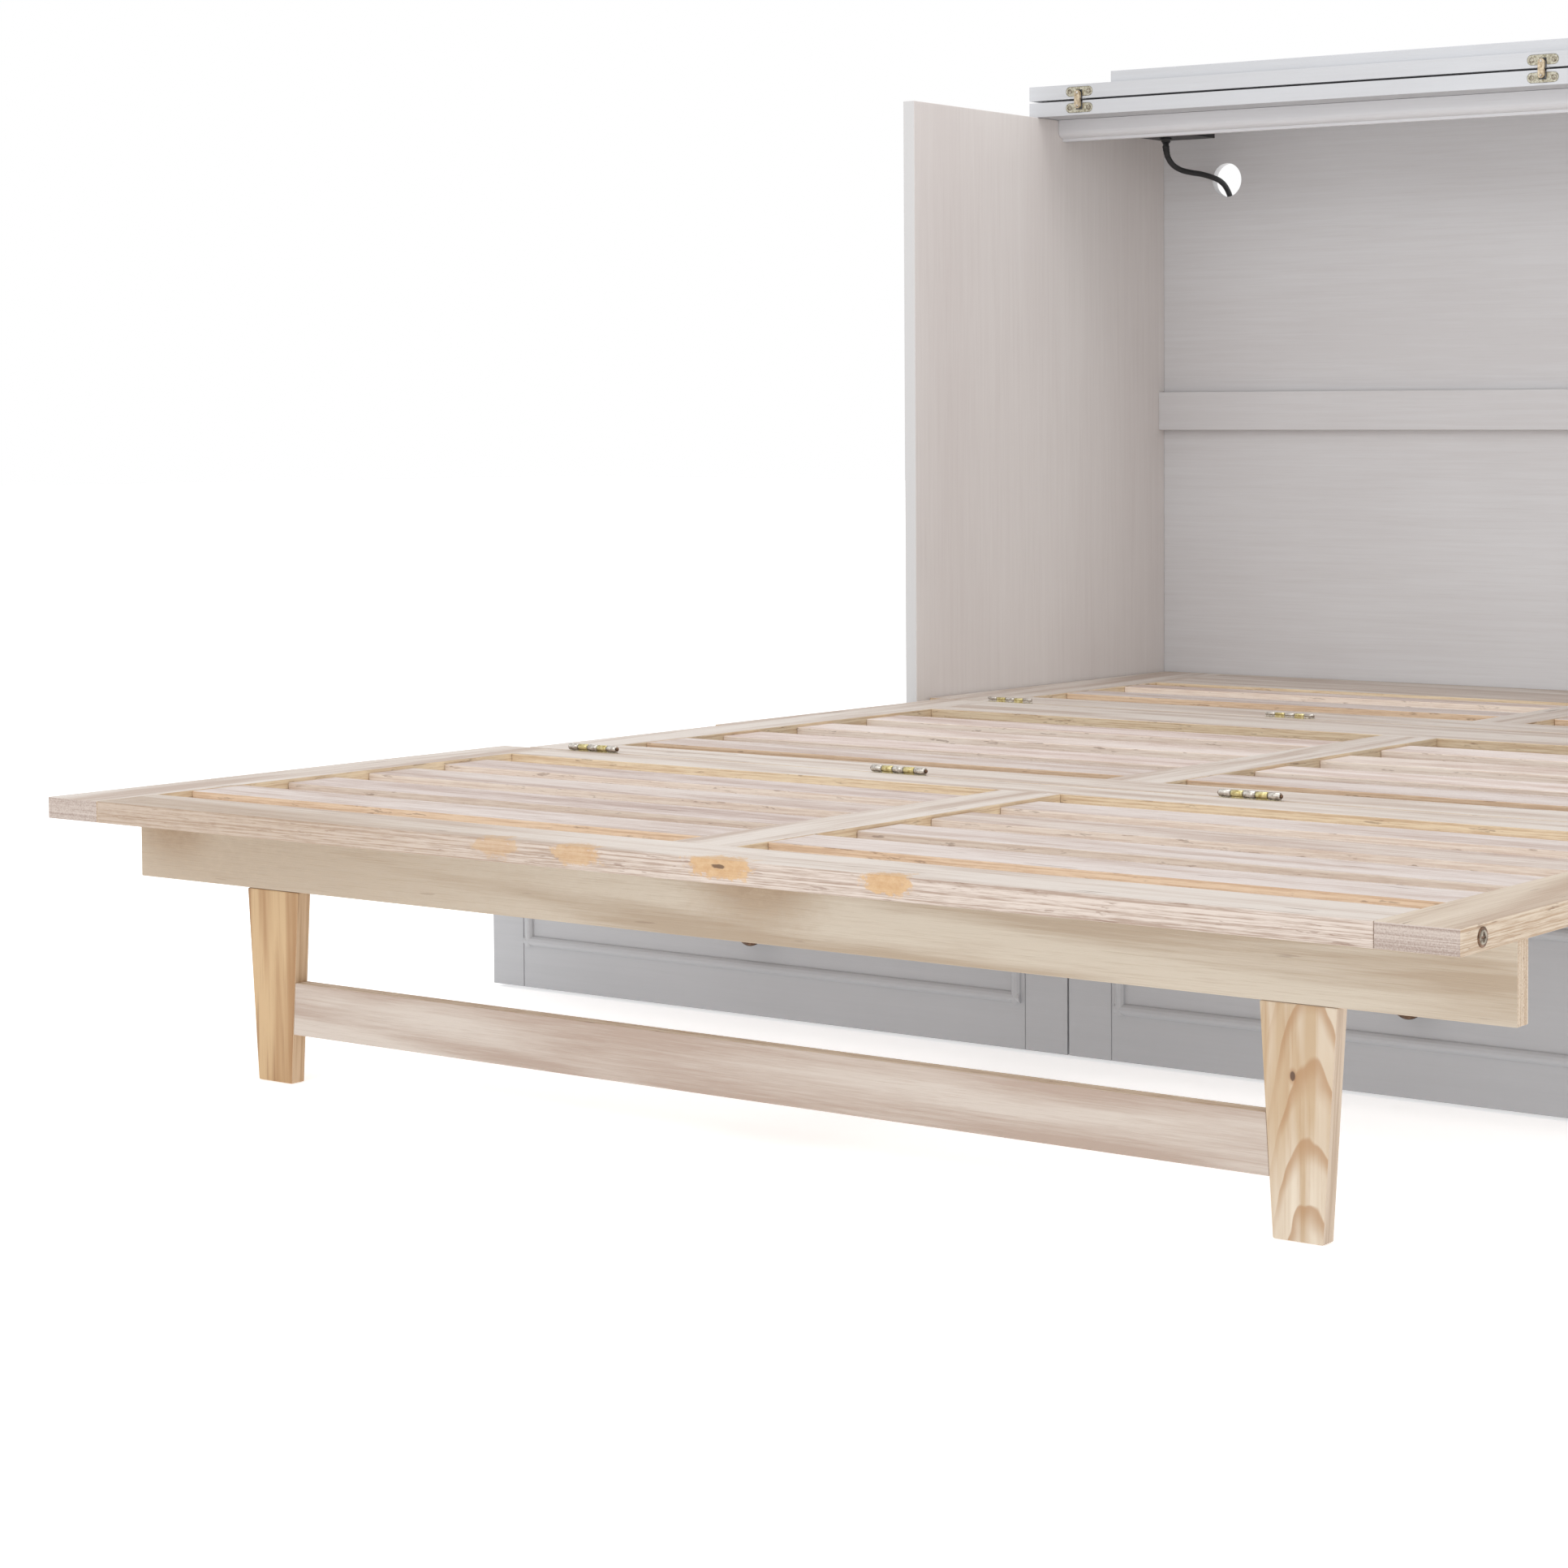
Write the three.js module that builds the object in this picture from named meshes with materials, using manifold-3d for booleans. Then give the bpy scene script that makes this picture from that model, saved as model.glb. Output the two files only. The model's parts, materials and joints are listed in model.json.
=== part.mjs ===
// Queen-size cabinet wall bed, shown unfolded for sleeping.
// The foot section stands on a folding leg frame, the middle section is hinged between it and the
// head section, which is fixed inside the cabinet. The cabinet's lid is folded back in two leaves,
// and the bottom drawer is rolled out under the first fold, where it carries the platform.
//
// Millimetres, +Z up, +X to the sleeper's right seen from the foot, the foot of the bed towards -Y.
// The parts are built with y = 0 at the foot edge, and the last group moves the whole bed so that
// its origin is at the middle of its footprint, on the floor.

import * as THREE from 'three';
import { mergeVertices } from 'three/addons/utils/BufferGeometryUtils.js';
import Module from 'manifold-3d';

const wasm = await Module();
wasm.setup();

// ---- Driving dimensions ---------------------------------------------------------------------

const GAP = 0.3; // clearance between pieces that touch

// Platform
const TOP = 280; // top of the platform
const FRAME = 21; // thickness of the platform rails
const UNDER = TOP - FRAME;
const RAIL = 73; // width of a side rail and of the centre rail
const SLAT = 12; // slat thickness
const FLUSH = 0.5; // how far the first slats lie below the rails
const RECESS = 3.5; // how far the other slats lie below the rails
const CENTRE_SHIFT = 30.5; // the middle and head sections' centre rails lie this far right of the middle
const FOOT_HALF = 792.5; // half width of the foot section
const MIDDLE_HALF = 757; // half width of the middle section
const FOLD_1 = 626.5; // foot section to middle section
const FOLD_2 = 1419.5; // middle section to head section
const FOLD_GAP = 1.6; // each section stops this far from its fold line

// Fold hinges
const HINGE_X = [-656, -219, 219, 656];
const HINGE_LENGTH = 72;
const KNUCKLE = 4; // radius of the knuckles
const HINGE_Z = TOP + 4.4; // height of both fold axes

// Cabinet
const BOARD = 18.5; // side panel thickness
const HALF = 814.2; // half width outside
const INNER = HALF - BOARD; // half width between the side panels
const FRONT = 1397; // front edge of the side panels
const BACK = 2002; // inside face of the back panel
const BACK_BOARD = 12;
const HEIGHT = 1084; // underside of the lid
const LID = 20; // thickness of a lid leaf
const LID_HALF = 811;
const LID_EDGE = 1680.7; // edge where the two lid leaves meet
const LID_AXIS = { y: 1680.2, z: HEIGHT + LID + 1.4 };
const LID_BACK = 2016;
const LID_HINGE_X = [-725, 0, 725];
const OUTLET_X = -711; // middle of the power module
const CABLE_HOLE = { x: -684, z: 1012, radius: 25 };

// Leg frame
const LEG_FRONT = 105.5; // front face of the apron and legs
const APRON_HEIGHT = 68.7;
const APRON_BOARD = 18;
const LEG_X = 590.5;
const LEG_BOARD = 16;
const LEG_TOP_WIDTH = 72;
const LEG_FOOT_WIDTH = 47;
const LEG_TOP = UNDER - GAP - APRON_HEIGHT - GAP;

// Drawer
const DRAWER_FRONT = 625.4; // front face of the drawer when it is rolled out
const DRAWER_BOARD = 18;
const DRAWER_TOP = 228;
const DRAWER_HALF = 775;
const DRAWER_DEPTH = 600;
const KNOB_X = 409;
const KNOB_Z = 102;

// Power cord
const CORD = 4.1; // radius
const COIL = { x: -600, y: 2093.2, inner: 36, outer: 53.6, height: 16.8 };
const COIL_TOP = 45; // radius of the topmost turn, which runs into the plug

// ---- Materials ------------------------------------------------------------------------------

const paint = { color: 0xd6d3d1, roughness: 0.55, metalness: 0 };
const drawerPaint = { color: 0xb2b2b5, roughness: 0.5, metalness: 0 };
const ply = { color: 0xdccbbb, roughness: 0.7, metalness: 0 };
const slatWood = { color: 0xd8c6b8, roughness: 0.75, metalness: 0 };
const apronWood = { color: 0xe3d2b8, roughness: 0.6, metalness: 0 };
const pine = { color: 0xe6c896, roughness: 0.55, metalness: 0 };
const boxWood = { color: 0xdcc7a6, roughness: 0.65, metalness: 0 };
const brass = { color: 0xc9b36a, roughness: 0.35, metalness: 1 };
const bronze = { color: 0x5a4636, roughness: 0.4, metalness: 1 };
const black = { color: 0x151517, roughness: 0.5, metalness: 0 };

// ---- Solids ---------------------------------------------------------------------------------

// A closed three.js geometry as a solid that can be joined and cut.
function solid(geometry) {
  const bare = geometry.clone();
  bare.deleteAttribute('normal');
  bare.deleteAttribute('uv');
  const merged = mergeVertices(bare, 1e-4);
  const vertProperties = Float32Array.from(merged.attributes.position.array);
  const triVerts = Uint32Array.from(merged.index.array);
  return new wasm.Manifold(new wasm.Mesh({ numProp: 3, vertProperties, triVerts }));
}

function piece(name, shape, material) {
  const { vertProperties, triVerts } = shape.getMesh();
  const indexed = new THREE.BufferGeometry();
  indexed.setAttribute('position', new THREE.BufferAttribute(vertProperties, 3));
  indexed.setIndex(new THREE.BufferAttribute(triVerts, 1));
  const geometry = indexed.toNonIndexed();
  geometry.computeVertexNormals();
  const mesh = new THREE.Mesh(geometry, new THREE.MeshStandardMaterial(material));
  mesh.name = name;
  return mesh;
}

function join(shapes) {
  return shapes.reduce((whole, next) => whole.add(next));
}

function cut(shape, tools) {
  return tools.reduce((left, tool) => left.subtract(tool), shape);
}

function block(x, y, z) {
  const geometry = new THREE.BoxGeometry(x[1] - x[0], y[1] - y[0], z[1] - z[0]);
  geometry.translate((x[0] + x[1]) / 2, (y[0] + y[1]) / 2, (z[0] + z[1]) / 2);
  return solid(geometry);
}

function rod(axis, radius, length, centre, sides = 24) {
  const geometry = new THREE.CylinderGeometry(radius, radius, length, sides);
  if (axis === 'x') geometry.rotateZ(Math.PI / 2);
  if (axis === 'z') geometry.rotateX(Math.PI / 2);
  geometry.translate(...centre);
  return solid(geometry);
}

// A closed outline pushed along one axis. Its points are (y, z) along x, (x, z) along y.
function prism(axis, outline, from, to) {
  const shape = new THREE.Shape(outline.map(([u, v]) => new THREE.Vector2(u, v)));
  const geometry = new THREE.ExtrudeGeometry(shape, { depth: to - from, bevelEnabled: false });
  if (axis === 'x') {
    const turn = new THREE.Matrix4().set(0, 0, 1, from, 1, 0, 0, 0, 0, 1, 0, 0, 0, 0, 0, 1);
    geometry.applyMatrix4(turn);
  } else {
    geometry.rotateX(Math.PI / 2);
    geometry.translate(0, to, 0);
  }
  return solid(geometry);
}

// A round piece turned about an axis that leaves the wall towards -Y: profile is (radius, reach).
function turned(profile, centre, segments = 32) {
  const points = profile.map(([r, reach]) => new THREE.Vector2(r, reach));
  const geometry = new THREE.LatheGeometry(points, segments);
  geometry.rotateX(Math.PI);
  geometry.translate(...centre);
  return solid(geometry);
}

// ---- Platform sections ----------------------------------------------------------------------

// Slats and the centre rail of a section, joined as one ladder that lies between its outer rails.
// Each slat is given by its front edge, its width and how far it lies below the rails.
function ladder(halfWidth, shift, from, to, slats) {
  const half = halfWidth - GAP;
  const spine = block([shift - RAIL / 2, shift + RAIL / 2], [from + GAP, to - GAP], [UNDER, TOP]);
  const rungs = slats.map(([front, width, below]) => {
    return block([-half, half], [front, front + width], [TOP - below - SLAT, TOP - below]);
  });
  return join([spine, ...rungs]);
}

function crossRail(halfWidth, from, to) {
  return block([GAP - halfWidth, halfWidth - GAP], [from, to], [UNDER, TOP]);
}

// One half of a butt hinge: an upright leaf between the sections and that section's own knuckles.
function hingeLeaf(x, fold, side, own) {
  const pitch = HINGE_LENGTH / 5;
  const start = x - HINGE_LENGTH / 2;
  const thick = side > 0 ? [fold + 0.2, fold + 1.3] : [fold - 1.3, fold - 0.2];
  const top = HINGE_Z - KNUCKLE - 0.3;
  const parts = [block([start, start + HINGE_LENGTH], thick, [UNDER + 2, top])];
  for (const n of own) {
    const left = start + n * pitch + 0.2;
    const right = start + (n + 1) * pitch - 0.2;
    parts.push(block([left, right], thick, [top - 1, HINGE_Z]));
    parts.push(rod('x', KNUCKLE, right - left, [(left + right) / 2, fold, HINGE_Z], 16));
  }
  return join(parts);
}

function footSection() {
  const group = new THREE.Group();
  const end = FOLD_1 - FOLD_GAP;
  const inside = FOOT_HALF - RAIL;
  const rearFrom = 562;
  const slats = [[116, 64, FLUSH], [240, 64, RECESS], [350.5, 64, RECESS], [460, 64, RECESS]];
  for (const [side, name] of [[-1, 'left'], [1, 'right']]) {
    const x = side < 0 ? [-FOOT_HALF, -inside] : [inside, FOOT_HALF];
    group.add(piece(`foot_rail_${name}`, block(x, [0, end], [UNDER, TOP]), ply));
  }
  group.add(piece('foot_rail_front', crossRail(inside, 0, RAIL), ply));
  group.add(piece('foot_rail_rear', crossRail(inside, rearFrom, end), ply));
  group.add(piece('foot_slats', ladder(inside, 0, RAIL, rearFrom, slats), slatWood));
  HINGE_X.forEach((x, n) => {
    group.add(piece(`fold_hinge_foot_${n + 1}`, hingeLeaf(x, FOLD_1, -1, [1, 3]), brass));
  });
  return group;
}

function middleSection() {
  const group = new THREE.Group();
  const start = FOLD_1 + FOLD_GAP;
  const end = FOLD_2 - FOLD_GAP;
  const inside = MIDDLE_HALF - RAIL;
  const frontTo = 701;
  const rearFrom = 1284;
  const slats = [[744, 68, FLUSH], [877.5, 68, RECESS], [1014, 68, RECESS], [1150, 68, RECESS]];
  for (const [side, name] of [[-1, 'left'], [1, 'right']]) {
    const span = (outer) => (side < 0 ? [-outer, -inside] : [inside, outer]);
    const rail = block(span(MIDDLE_HALF), [start, end], [UNDER, TOP]);
    const strip = block(span(MIDDLE_HALF + 12), [960, end], [UNDER, TOP]);
    group.add(piece(`middle_rail_${name}`, rail.add(strip), ply));
  }
  group.add(piece('middle_rail_front', crossRail(inside, start, frontTo), ply));
  group.add(piece('middle_rail_rear', crossRail(inside, rearFrom, end), ply));
  group.add(piece('middle_slats', ladder(inside, CENTRE_SHIFT, frontTo, rearFrom, slats), slatWood));
  group.add(piece('upper_front', upperFront(), drawerPaint));
  const bearer = block([-HALF, HALF], [629, 649], [229, UNDER - GAP]);
  group.add(piece('fold_bearer', bearer, drawerPaint));
  HINGE_X.forEach((x, n) => {
    group.add(piece(`fold_hinge_middle_${n + 1}`, hingeLeaf(x, FOLD_1, 1, [0, 2, 4]), brass));
  });
  return group;
}

// Board under the middle section: it closes the cabinet's front when the bed is folded away.
// Its wide part covers the side panels' edges, its root passes between them.
function upperFront() {
  const z = [UNDER - GAP - DRAWER_BOARD, UNDER - GAP];
  const wide = block([-HALF, HALF], [649.3, 1393.8], z);
  const root = block([-792, 792], [1393, FOLD_2 + 30], z);
  const rows = [668, 910, 1152];
  const beads = rows.flatMap((from) => [-1, 1].map((side) => {
    const x = side < 0 ? [-762, -59] : [59, 762];
    return beadFrame(x, [-from - 212, -from]).rotate([90, 0, 0]).translate([0, 0, z[0]]);
  }));
  const seam = block([-1, 1], [640, FOLD_2 + 40], [z[0] - 1, z[0] + 3]);
  return cut(join([wide, root, ...beads]), [seam]);
}

// A raised half-round bead around a false drawer front, standing out of the plane y = 0 to -Y.
function beadFrame(x, z) {
  const width = 12;
  const rise = 5;
  const arc = (at) => {
    const points = [[at, 0.5], [at, 0]];
    for (let n = 1; n < 6; n += 1) {
      const angle = Math.PI * n / 6;
      points.push([at + width / 2 * (1 - Math.cos(angle)), -rise * Math.sin(angle)]);
    }
    return [...points, [at + width, 0], [at + width, 0.5]];
  };
  const level = (at) => prism('x', arc(at).map(([u, v]) => [v, u]), x[0], x[1]);
  const upright = (at) => {
    const outline = arc(at).map(([u, v]) => new THREE.Vector2(u, v));
    const depth = z[1] - z[0];
    const geometry = new THREE.ExtrudeGeometry(new THREE.Shape(outline), { depth, bevelEnabled: false });
    geometry.translate(0, 0, z[0]);
    return solid(geometry);
  };
  return join([level(z[0]), level(z[1] - width), upright(x[0]), upright(x[1] - width)]);
}

// ---- Leg frame ------------------------------------------------------------------------------

function legFrame() {
  const group = new THREE.Group();
  const apronY = [LEG_FRONT, LEG_FRONT + APRON_BOARD];
  const apronZ = [LEG_TOP + GAP, UNDER - GAP];
  group.add(piece('leg_apron', block([-784.5, 784.5], apronY, apronZ), apronWood));
  group.add(piece('leg_left', leg(-LEG_X), pine));
  group.add(piece('leg_right', leg(LEG_X), pine));
  const reach = (z) => LEG_X - legHalfWidth(z) - GAP;
  const low = 49;
  const high = 100.4;
  const outline = [[-reach(low), low], [reach(low), low], [reach(high), high], [-reach(high), high]];
  const stretcher = prism('y', outline, LEG_FRONT, LEG_FRONT + LEG_BOARD);
  group.add(piece('leg_stretcher', stretcher, ply));
  return group;
}

function legHalfWidth(z) {
  return (LEG_FOOT_WIDTH + (LEG_TOP_WIDTH - LEG_FOOT_WIDTH) * z / LEG_TOP) / 2;
}

// Tapered leg, with a block at its top that laps behind the apron.
function leg(x) {
  const top = legHalfWidth(LEG_TOP);
  const foot = legHalfWidth(0);
  const outline = [[x - foot, 0], [x + foot, 0], [x + top, LEG_TOP], [x - top, LEG_TOP]];
  const blade = prism('y', outline, LEG_FRONT, LEG_FRONT + LEG_BOARD);
  const back = LEG_FRONT + 2 * APRON_BOARD + GAP;
  const lip = block([x - 30, x + 30], [LEG_FRONT + LEG_BOARD - 2, back], [LEG_TOP - 3, LEG_TOP]);
  const behind = LEG_FRONT + APRON_BOARD + GAP;
  const lap = block([x - 30, x + 30], [behind, back], [LEG_TOP - 2, UNDER - 4]);
  return join([blade, lip, lap]);
}

// ---- Cabinet --------------------------------------------------------------------------------

function cabinet() {
  const group = new THREE.Group();
  const topZ = HEIGHT - GAP;
  for (const [side, name] of [[-1, 'left'], [1, 'right']]) {
    const x = side < 0 ? [-HALF, -INNER] : [INNER, HALF];
    const panel = block(x, [FRONT, BACK - GAP], [0, topZ]);
    group.add(piece(`side_panel_${name}`, panel, paint));
    const cleatX = side < 0 ? [GAP - INNER, -760] : [760, INNER - GAP];
    const cleat = block(cleatX, [1500, BACK - GAP], [DRAWER_TOP + 2, UNDER - GAP]);
    group.add(piece(`head_cleat_${name}`, cleat, boxWood));
  }
  const back = block([-HALF, HALF], [BACK, BACK + BACK_BOARD], [10, topZ]);
  const hole = rod('y', CABLE_HOLE.radius, 40, [CABLE_HOLE.x, BACK, CABLE_HOLE.z], 32);
  group.add(piece('back_panel', back.subtract(hole), paint));
  const midRail = block([GAP - INNER, INNER - GAP], [BACK - 15, BACK - GAP], [643, 699.5]);
  group.add(piece('back_mid_rail', midRail, paint));
  group.add(piece('top_rail', topRail(topZ), paint));
  group.add(headSection());
  group.add(rearLid());
  return group;
}

// Cove-moulded rail between the side panels, under the rear lid leaf.
function topRail(topZ) {
  const front = 1729.5;
  const depth = 20;
  const low = topZ - 29.7;
  const cove = [0, 1, 2, 3, 4, 5].map((n) => {
    const angle = Math.PI / 2 * n / 5;
    return [front + 10 - 10 * Math.cos(angle), low + 14 - 10 * Math.sin(angle)];
  });
  const outline = [[front, topZ], ...cove, [front + 10, low], [front + depth, low], [front + depth, topZ]];
  return prism('x', outline.reverse(), GAP - INNER, INNER - GAP);
}

function headSection() {
  const group = new THREE.Group();
  const start = FOLD_2 + FOLD_GAP;
  const end = BACK - 2.5;
  const half = 792;
  const inside = MIDDLE_HALF - RAIL;
  const frontTo = 1507;
  const rearFrom = 1812;
  const slats = [[1589, 60, FLUSH], [1731, 45, FLUSH]];
  for (const [side, name] of [[-1, 'left'], [1, 'right']]) {
    const x = side < 0 ? [-half, -inside] : [inside, half];
    group.add(piece(`head_rail_${name}`, block(x, [start, end], [UNDER, TOP]), ply));
  }
  group.add(piece('head_rail_front', crossRail(inside, start, frontTo), ply));
  group.add(piece('head_rail_rear', crossRail(inside, rearFrom, end), ply));
  group.add(piece('head_slats', ladder(inside, CENTRE_SHIFT, frontTo, rearFrom, slats), slatWood));
  return group;
}

// ---- Lid ------------------------------------------------------------------------------------

// Outline of a dog-bone hinge plate at the lid's edge, grown by a margin. flip is 1 on the folded
// leaf above the axis and -1 on the fixed leaf below it.
function lidPlate(x, flip, depth, grow) {
  const z = LID_AXIS.z + flip * 11.4;
  const y = LID_EDGE + depth / 2;
  const ySpan = [LID_EDGE - (grow > 0 ? 1 : 0), LID_EDGE + depth];
  const half = 6.5 + grow;
  const ends = [-16, 16].map((dx) => rod('y', half, depth + (grow > 0 ? 2 : 0), [x + dx, y - grow, z], 20));
  const bar = block([x - 16, x + 16], ySpan, [z - half, z + half]);
  return join([...ends, bar]);
}

// Slot in a leaf's edge that takes the hinge link while the lid turns.
function linkSlot(x, flip) {
  const near = LID_AXIS.z;
  const far = LID_AXIS.z + flip * 13.9;
  const z = flip > 0 ? [near, far] : [far, near];
  return block([x - 5.3, x + 5.3], [LID_EDGE - 1, LID_EDGE + 14.5], z);
}

function lidHinges(flip, label) {
  const names = ['left', 'middle', 'right'];
  return LID_HINGE_X.map((x, n) => {
    const plate = lidPlate(x, flip, 2, 0).subtract(linkSlot(x, flip));
    return piece(`lid_hinge_plate_${label}_${names[n]}`, plate, brass);
  });
}

function leafCuts(flip) {
  return LID_HINGE_X.flatMap((x) => [lidPlate(x, flip, 2.3, 0.3), linkSlot(x, flip)]);
}

function rearLid() {
  const group = new THREE.Group();
  const leaf = block([-LID_HALF, LID_HALF], [LID_EDGE, LID_BACK], [HEIGHT, HEIGHT + LID]);
  const outletHole = block([OUTLET_X - 46, OUTLET_X + 46], [1880, 1940], [HEIGHT - 5, HEIGHT + LID + 5]);
  group.add(piece('lid_rear_leaf', cut(leaf, [...leafCuts(-1), outletHole]), paint));
  lidHinges(-1, 'rear').forEach((plate) => group.add(plate));
  group.add(piece('power_module', powerModule(), black));
  return group;
}

// Outlet block in the rear leaf: its flange lies on top, two sockets and two charging ports face up.
function powerModule() {
  const x = [OUTLET_X - 46 + GAP, OUTLET_X + 46 - GAP];
  const body = block(x, [1880 + GAP, 1940 - GAP], [1068, HEIGHT + LID + 1]);
  const flangeZ = [HEIGHT + LID + GAP, HEIGHT + LID + 1.8];
  const flange = block([OUTLET_X - 52, OUTLET_X + 52], [1874, 1946], flangeZ);
  const pocketZ = [HEIGHT + LID - 8, HEIGHT + LID + 5];
  const pocket = (dx, y, wide, long) => {
    const centre = OUTLET_X + dx;
    return block([centre - wide / 2, centre + wide / 2], [y - long / 2, y + long / 2], pocketZ);
  };
  const sockets = [-27, 27].flatMap((dx) => [
    pocket(dx - 6.35, 1914, 2, 8),
    pocket(dx + 6.35, 1914, 2, 9),
    rod('z', 2.6, 13, [OUTLET_X + dx, 1903, HEIGHT + LID - 1.5], 12),
  ]);
  const ports = [-8, 8].map((dy) => pocket(0, 1910 + dy, 13, 6));
  return cut(body.add(flange), [...sockets, ...ports]);
}

function frontLid() {
  const group = new THREE.Group();
  const low = LID_AXIS.z + 1.4;
  const leaf = block([-LID_HALF, LID_HALF], [LID_EDGE, LID_EDGE + 310], [low, low + LID]);
  group.add(piece('lid_front_leaf', cut(leaf, leafCuts(1)), paint));
  const above = low + LID + GAP;
  const stiffener = block([-677, 677], [LID_EDGE + 8, LID_EDGE + 98], [above, above + 16]);
  group.add(piece('lid_stiffener', stiffener, paint));
  lidHinges(1, 'front').forEach((plate) => group.add(plate));
  return group;
}

// Links that tie each pair of lid plates: they stand in front of the edges while the lid is folded.
function lidLinks() {
  const group = new THREE.Group();
  const names = ['left', 'middle', 'right'];
  const y = [LID_AXIS.y - 5.2, LID_AXIS.y - 1.4];
  LID_HINGE_X.forEach((x, n) => {
    const bar = block([x - 4.7, x + 4.7], y, [LID_AXIS.z - 8, LID_AXIS.z + 8]);
    const eyes = [-8, 8].map((dz) => {
      return rod('y', 4.7, y[1] - y[0], [x, (y[0] + y[1]) / 2, LID_AXIS.z + dz], 16);
    });
    group.add(piece(`lid_hinge_link_${names[n]}`, join([bar, ...eyes]), brass));
  });
  return group;
}

// ---- Drawer ---------------------------------------------------------------------------------

function drawer() {
  const group = new THREE.Group();
  const behind = DRAWER_FRONT + DRAWER_BOARD + GAP;
  const rear = DRAWER_FRONT + DRAWER_DEPTH;
  const sideTop = DRAWER_TOP - 6;
  const low = 40;
  const wall = 15;
  const inside = DRAWER_HALF - wall - GAP;
  group.add(piece('drawer_front', drawerFront(), drawerPaint));
  for (const [side, name] of [[-1, 'left'], [1, 'right']]) {
    const x = side < 0 ? [-DRAWER_HALF, wall - DRAWER_HALF] : [DRAWER_HALF - wall, DRAWER_HALF];
    group.add(piece(`drawer_side_${name}`, block(x, [behind, rear], [low, sideTop]), boxWood));
    const knob = turned(KNOB_PROFILE, [side * KNOB_X, DRAWER_FRONT - GAP, KNOB_Z], 28);
    group.add(piece(`drawer_knob_${name}`, knob, bronze));
  }
  const backWall = block([-inside, inside], [rear - wall, rear], [low, sideTop]);
  group.add(piece('drawer_back', backWall, boxWood));
  const bottom = block([-inside, inside], [behind, rear - wall - GAP], [low, low + 9]);
  group.add(piece('drawer_bottom', bottom, boxWood));
  return group;
}

const KNOB_PROFILE = [
  [0, 0], [10, 0], [10, 2], [7, 4], [6, 9], [8, 13], [15, 15], [19, 18], [19, 21], [15, 25], [8, 27], [0, 27.5],
];

// Two false fronts side by side: a seam between them, stiles, and a raised bead around each panel.
function drawerFront() {
  const back = DRAWER_FRONT + DRAWER_BOARD;
  const board = block([-HALF, HALF], [DRAWER_FRONT, back], [3, DRAWER_TOP]);
  const frames = [[-762, -59], [59, 762]].map((x) => beadFrame(x, [51, 180]).translate([0, DRAWER_FRONT, 0]));
  const groove = (x, width, depth) => {
    return block([x - width / 2, x + width / 2], [DRAWER_FRONT - 1, DRAWER_FRONT + depth], [0, 240]);
  };
  const stiles = [-766, -54, 54, 766].map((x) => groove(x, 1.4, 1));
  return cut(join([board, ...frames]), [groove(0, 2.4, 4), ...stiles]);
}

// ---- Power cord -----------------------------------------------------------------------------

// From the gland under the module, out through the back panel and down behind it to the coil.
const CORD_ROUTE = [
  [-724, 1899, 1061.2], [-723.9, 1899.3, 1052.5], [-722.6, 1902.4, 1040], [-719.3, 1911, 1029.3],
  [-714, 1924.5, 1022.8], [-707.5, 1941, 1020], [-701, 1958.5, 1018.5], [-695.7, 1976, 1015.5],
  [-692.5, 1993, 1011.5], [-691, 2007.5, 1004], [-690.3, 2019, 991], [-690, 2027, 971], [-690, 2030.6, 940],
  [-690, 2031.5, 880], [-690, 2032, 700], [-690, 2032, 500], [-690, 2032, 300], [-690, 2032, 150],
  [-690, 2032.5, 95], [-689, 2034, 60], [-685, 2037, 35], [-676.5, 2039.7, 17.5], [-663.5, 2041.9, 7.8],
  [-647.5, 2043.4, 4.7], [-631.5, 2044.1, 4.3],
];

function cordPieces() {
  const group = new THREE.Group();
  const gland = new THREE.CylinderGeometry(8.5, 6, 6, 20);
  gland.rotateX(Math.PI / 2);
  gland.translate(-724, 1899, 1064.7);
  group.add(piece('cord_gland', solid(gland), black));
  const route = new THREE.CatmullRomCurve3(CORD_ROUTE.map((p) => new THREE.Vector3(...p)));
  const section = new THREE.Shape();
  for (let n = 0; n < 10; n += 1) {
    const angle = 2 * Math.PI * n / 10;
    const move = n === 0 ? 'moveTo' : 'lineTo';
    section[move](CORD * Math.cos(angle), CORD * Math.sin(angle));
  }
  const tube = new THREE.ExtrudeGeometry(section, { steps: 80, extrudePath: route, bevelEnabled: false });
  group.add(piece('power_cord', solid(tube), black));
  group.add(piece('cord_coil', coil(), black));
  group.add(piece('cord_plug', plug(), black));
  return group;
}

function coil() {
  const { inner, outer, height } = COIL;
  const section = [
    [inner, 3], [inner + 3, 0.1], [outer - 3, 0.1], [outer, 3], [outer, height - 3], [outer - 3, height],
    [inner + 3, height], [inner, height - 3], [inner, 3],
  ];
  const geometry = new THREE.LatheGeometry(section.map((p) => new THREE.Vector2(...p)), 48);
  geometry.rotateX(Math.PI / 2);
  geometry.translate(COIL.x, COIL.y, 0);
  return solid(geometry);
}

// Moulded plug that the coil's last turn runs into, lying on the floor with its blades to -X.
function plug() {
  const y = COIL.y + COIL_TOP;
  const start = COIL.x - 46;
  const z = 10.2;
  const relief = rod('x', 5, 16, [start - 8, y, z], 16);
  const body = block([start - 44, start - 14], [y - 12, y + 12], [z - 9, z + 9]);
  const blades = [-6.35, 6.35].map((dy) => {
    return block([start - 60, start - 43], [y + dy - 0.8, y + dy + 0.8], [z - 3.2, z + 3.2]);
  });
  const earth = rod('x', 2.3, 21, [start - 53.5, y, z + 5.5], 12);
  return join([relief, body, ...blades, earth]);
}

// ---- Assembly -------------------------------------------------------------------------------

const bed = new THREE.Group();
bed.add(cabinet(), frontLid(), lidLinks(), middleSection(), footSection(), legFrame(), drawer(), cordPieces());
bed.position.set(0, -LID_BACK / 2, 0);

const object = new THREE.Group();
object.add(bed);

export default object;
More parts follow.
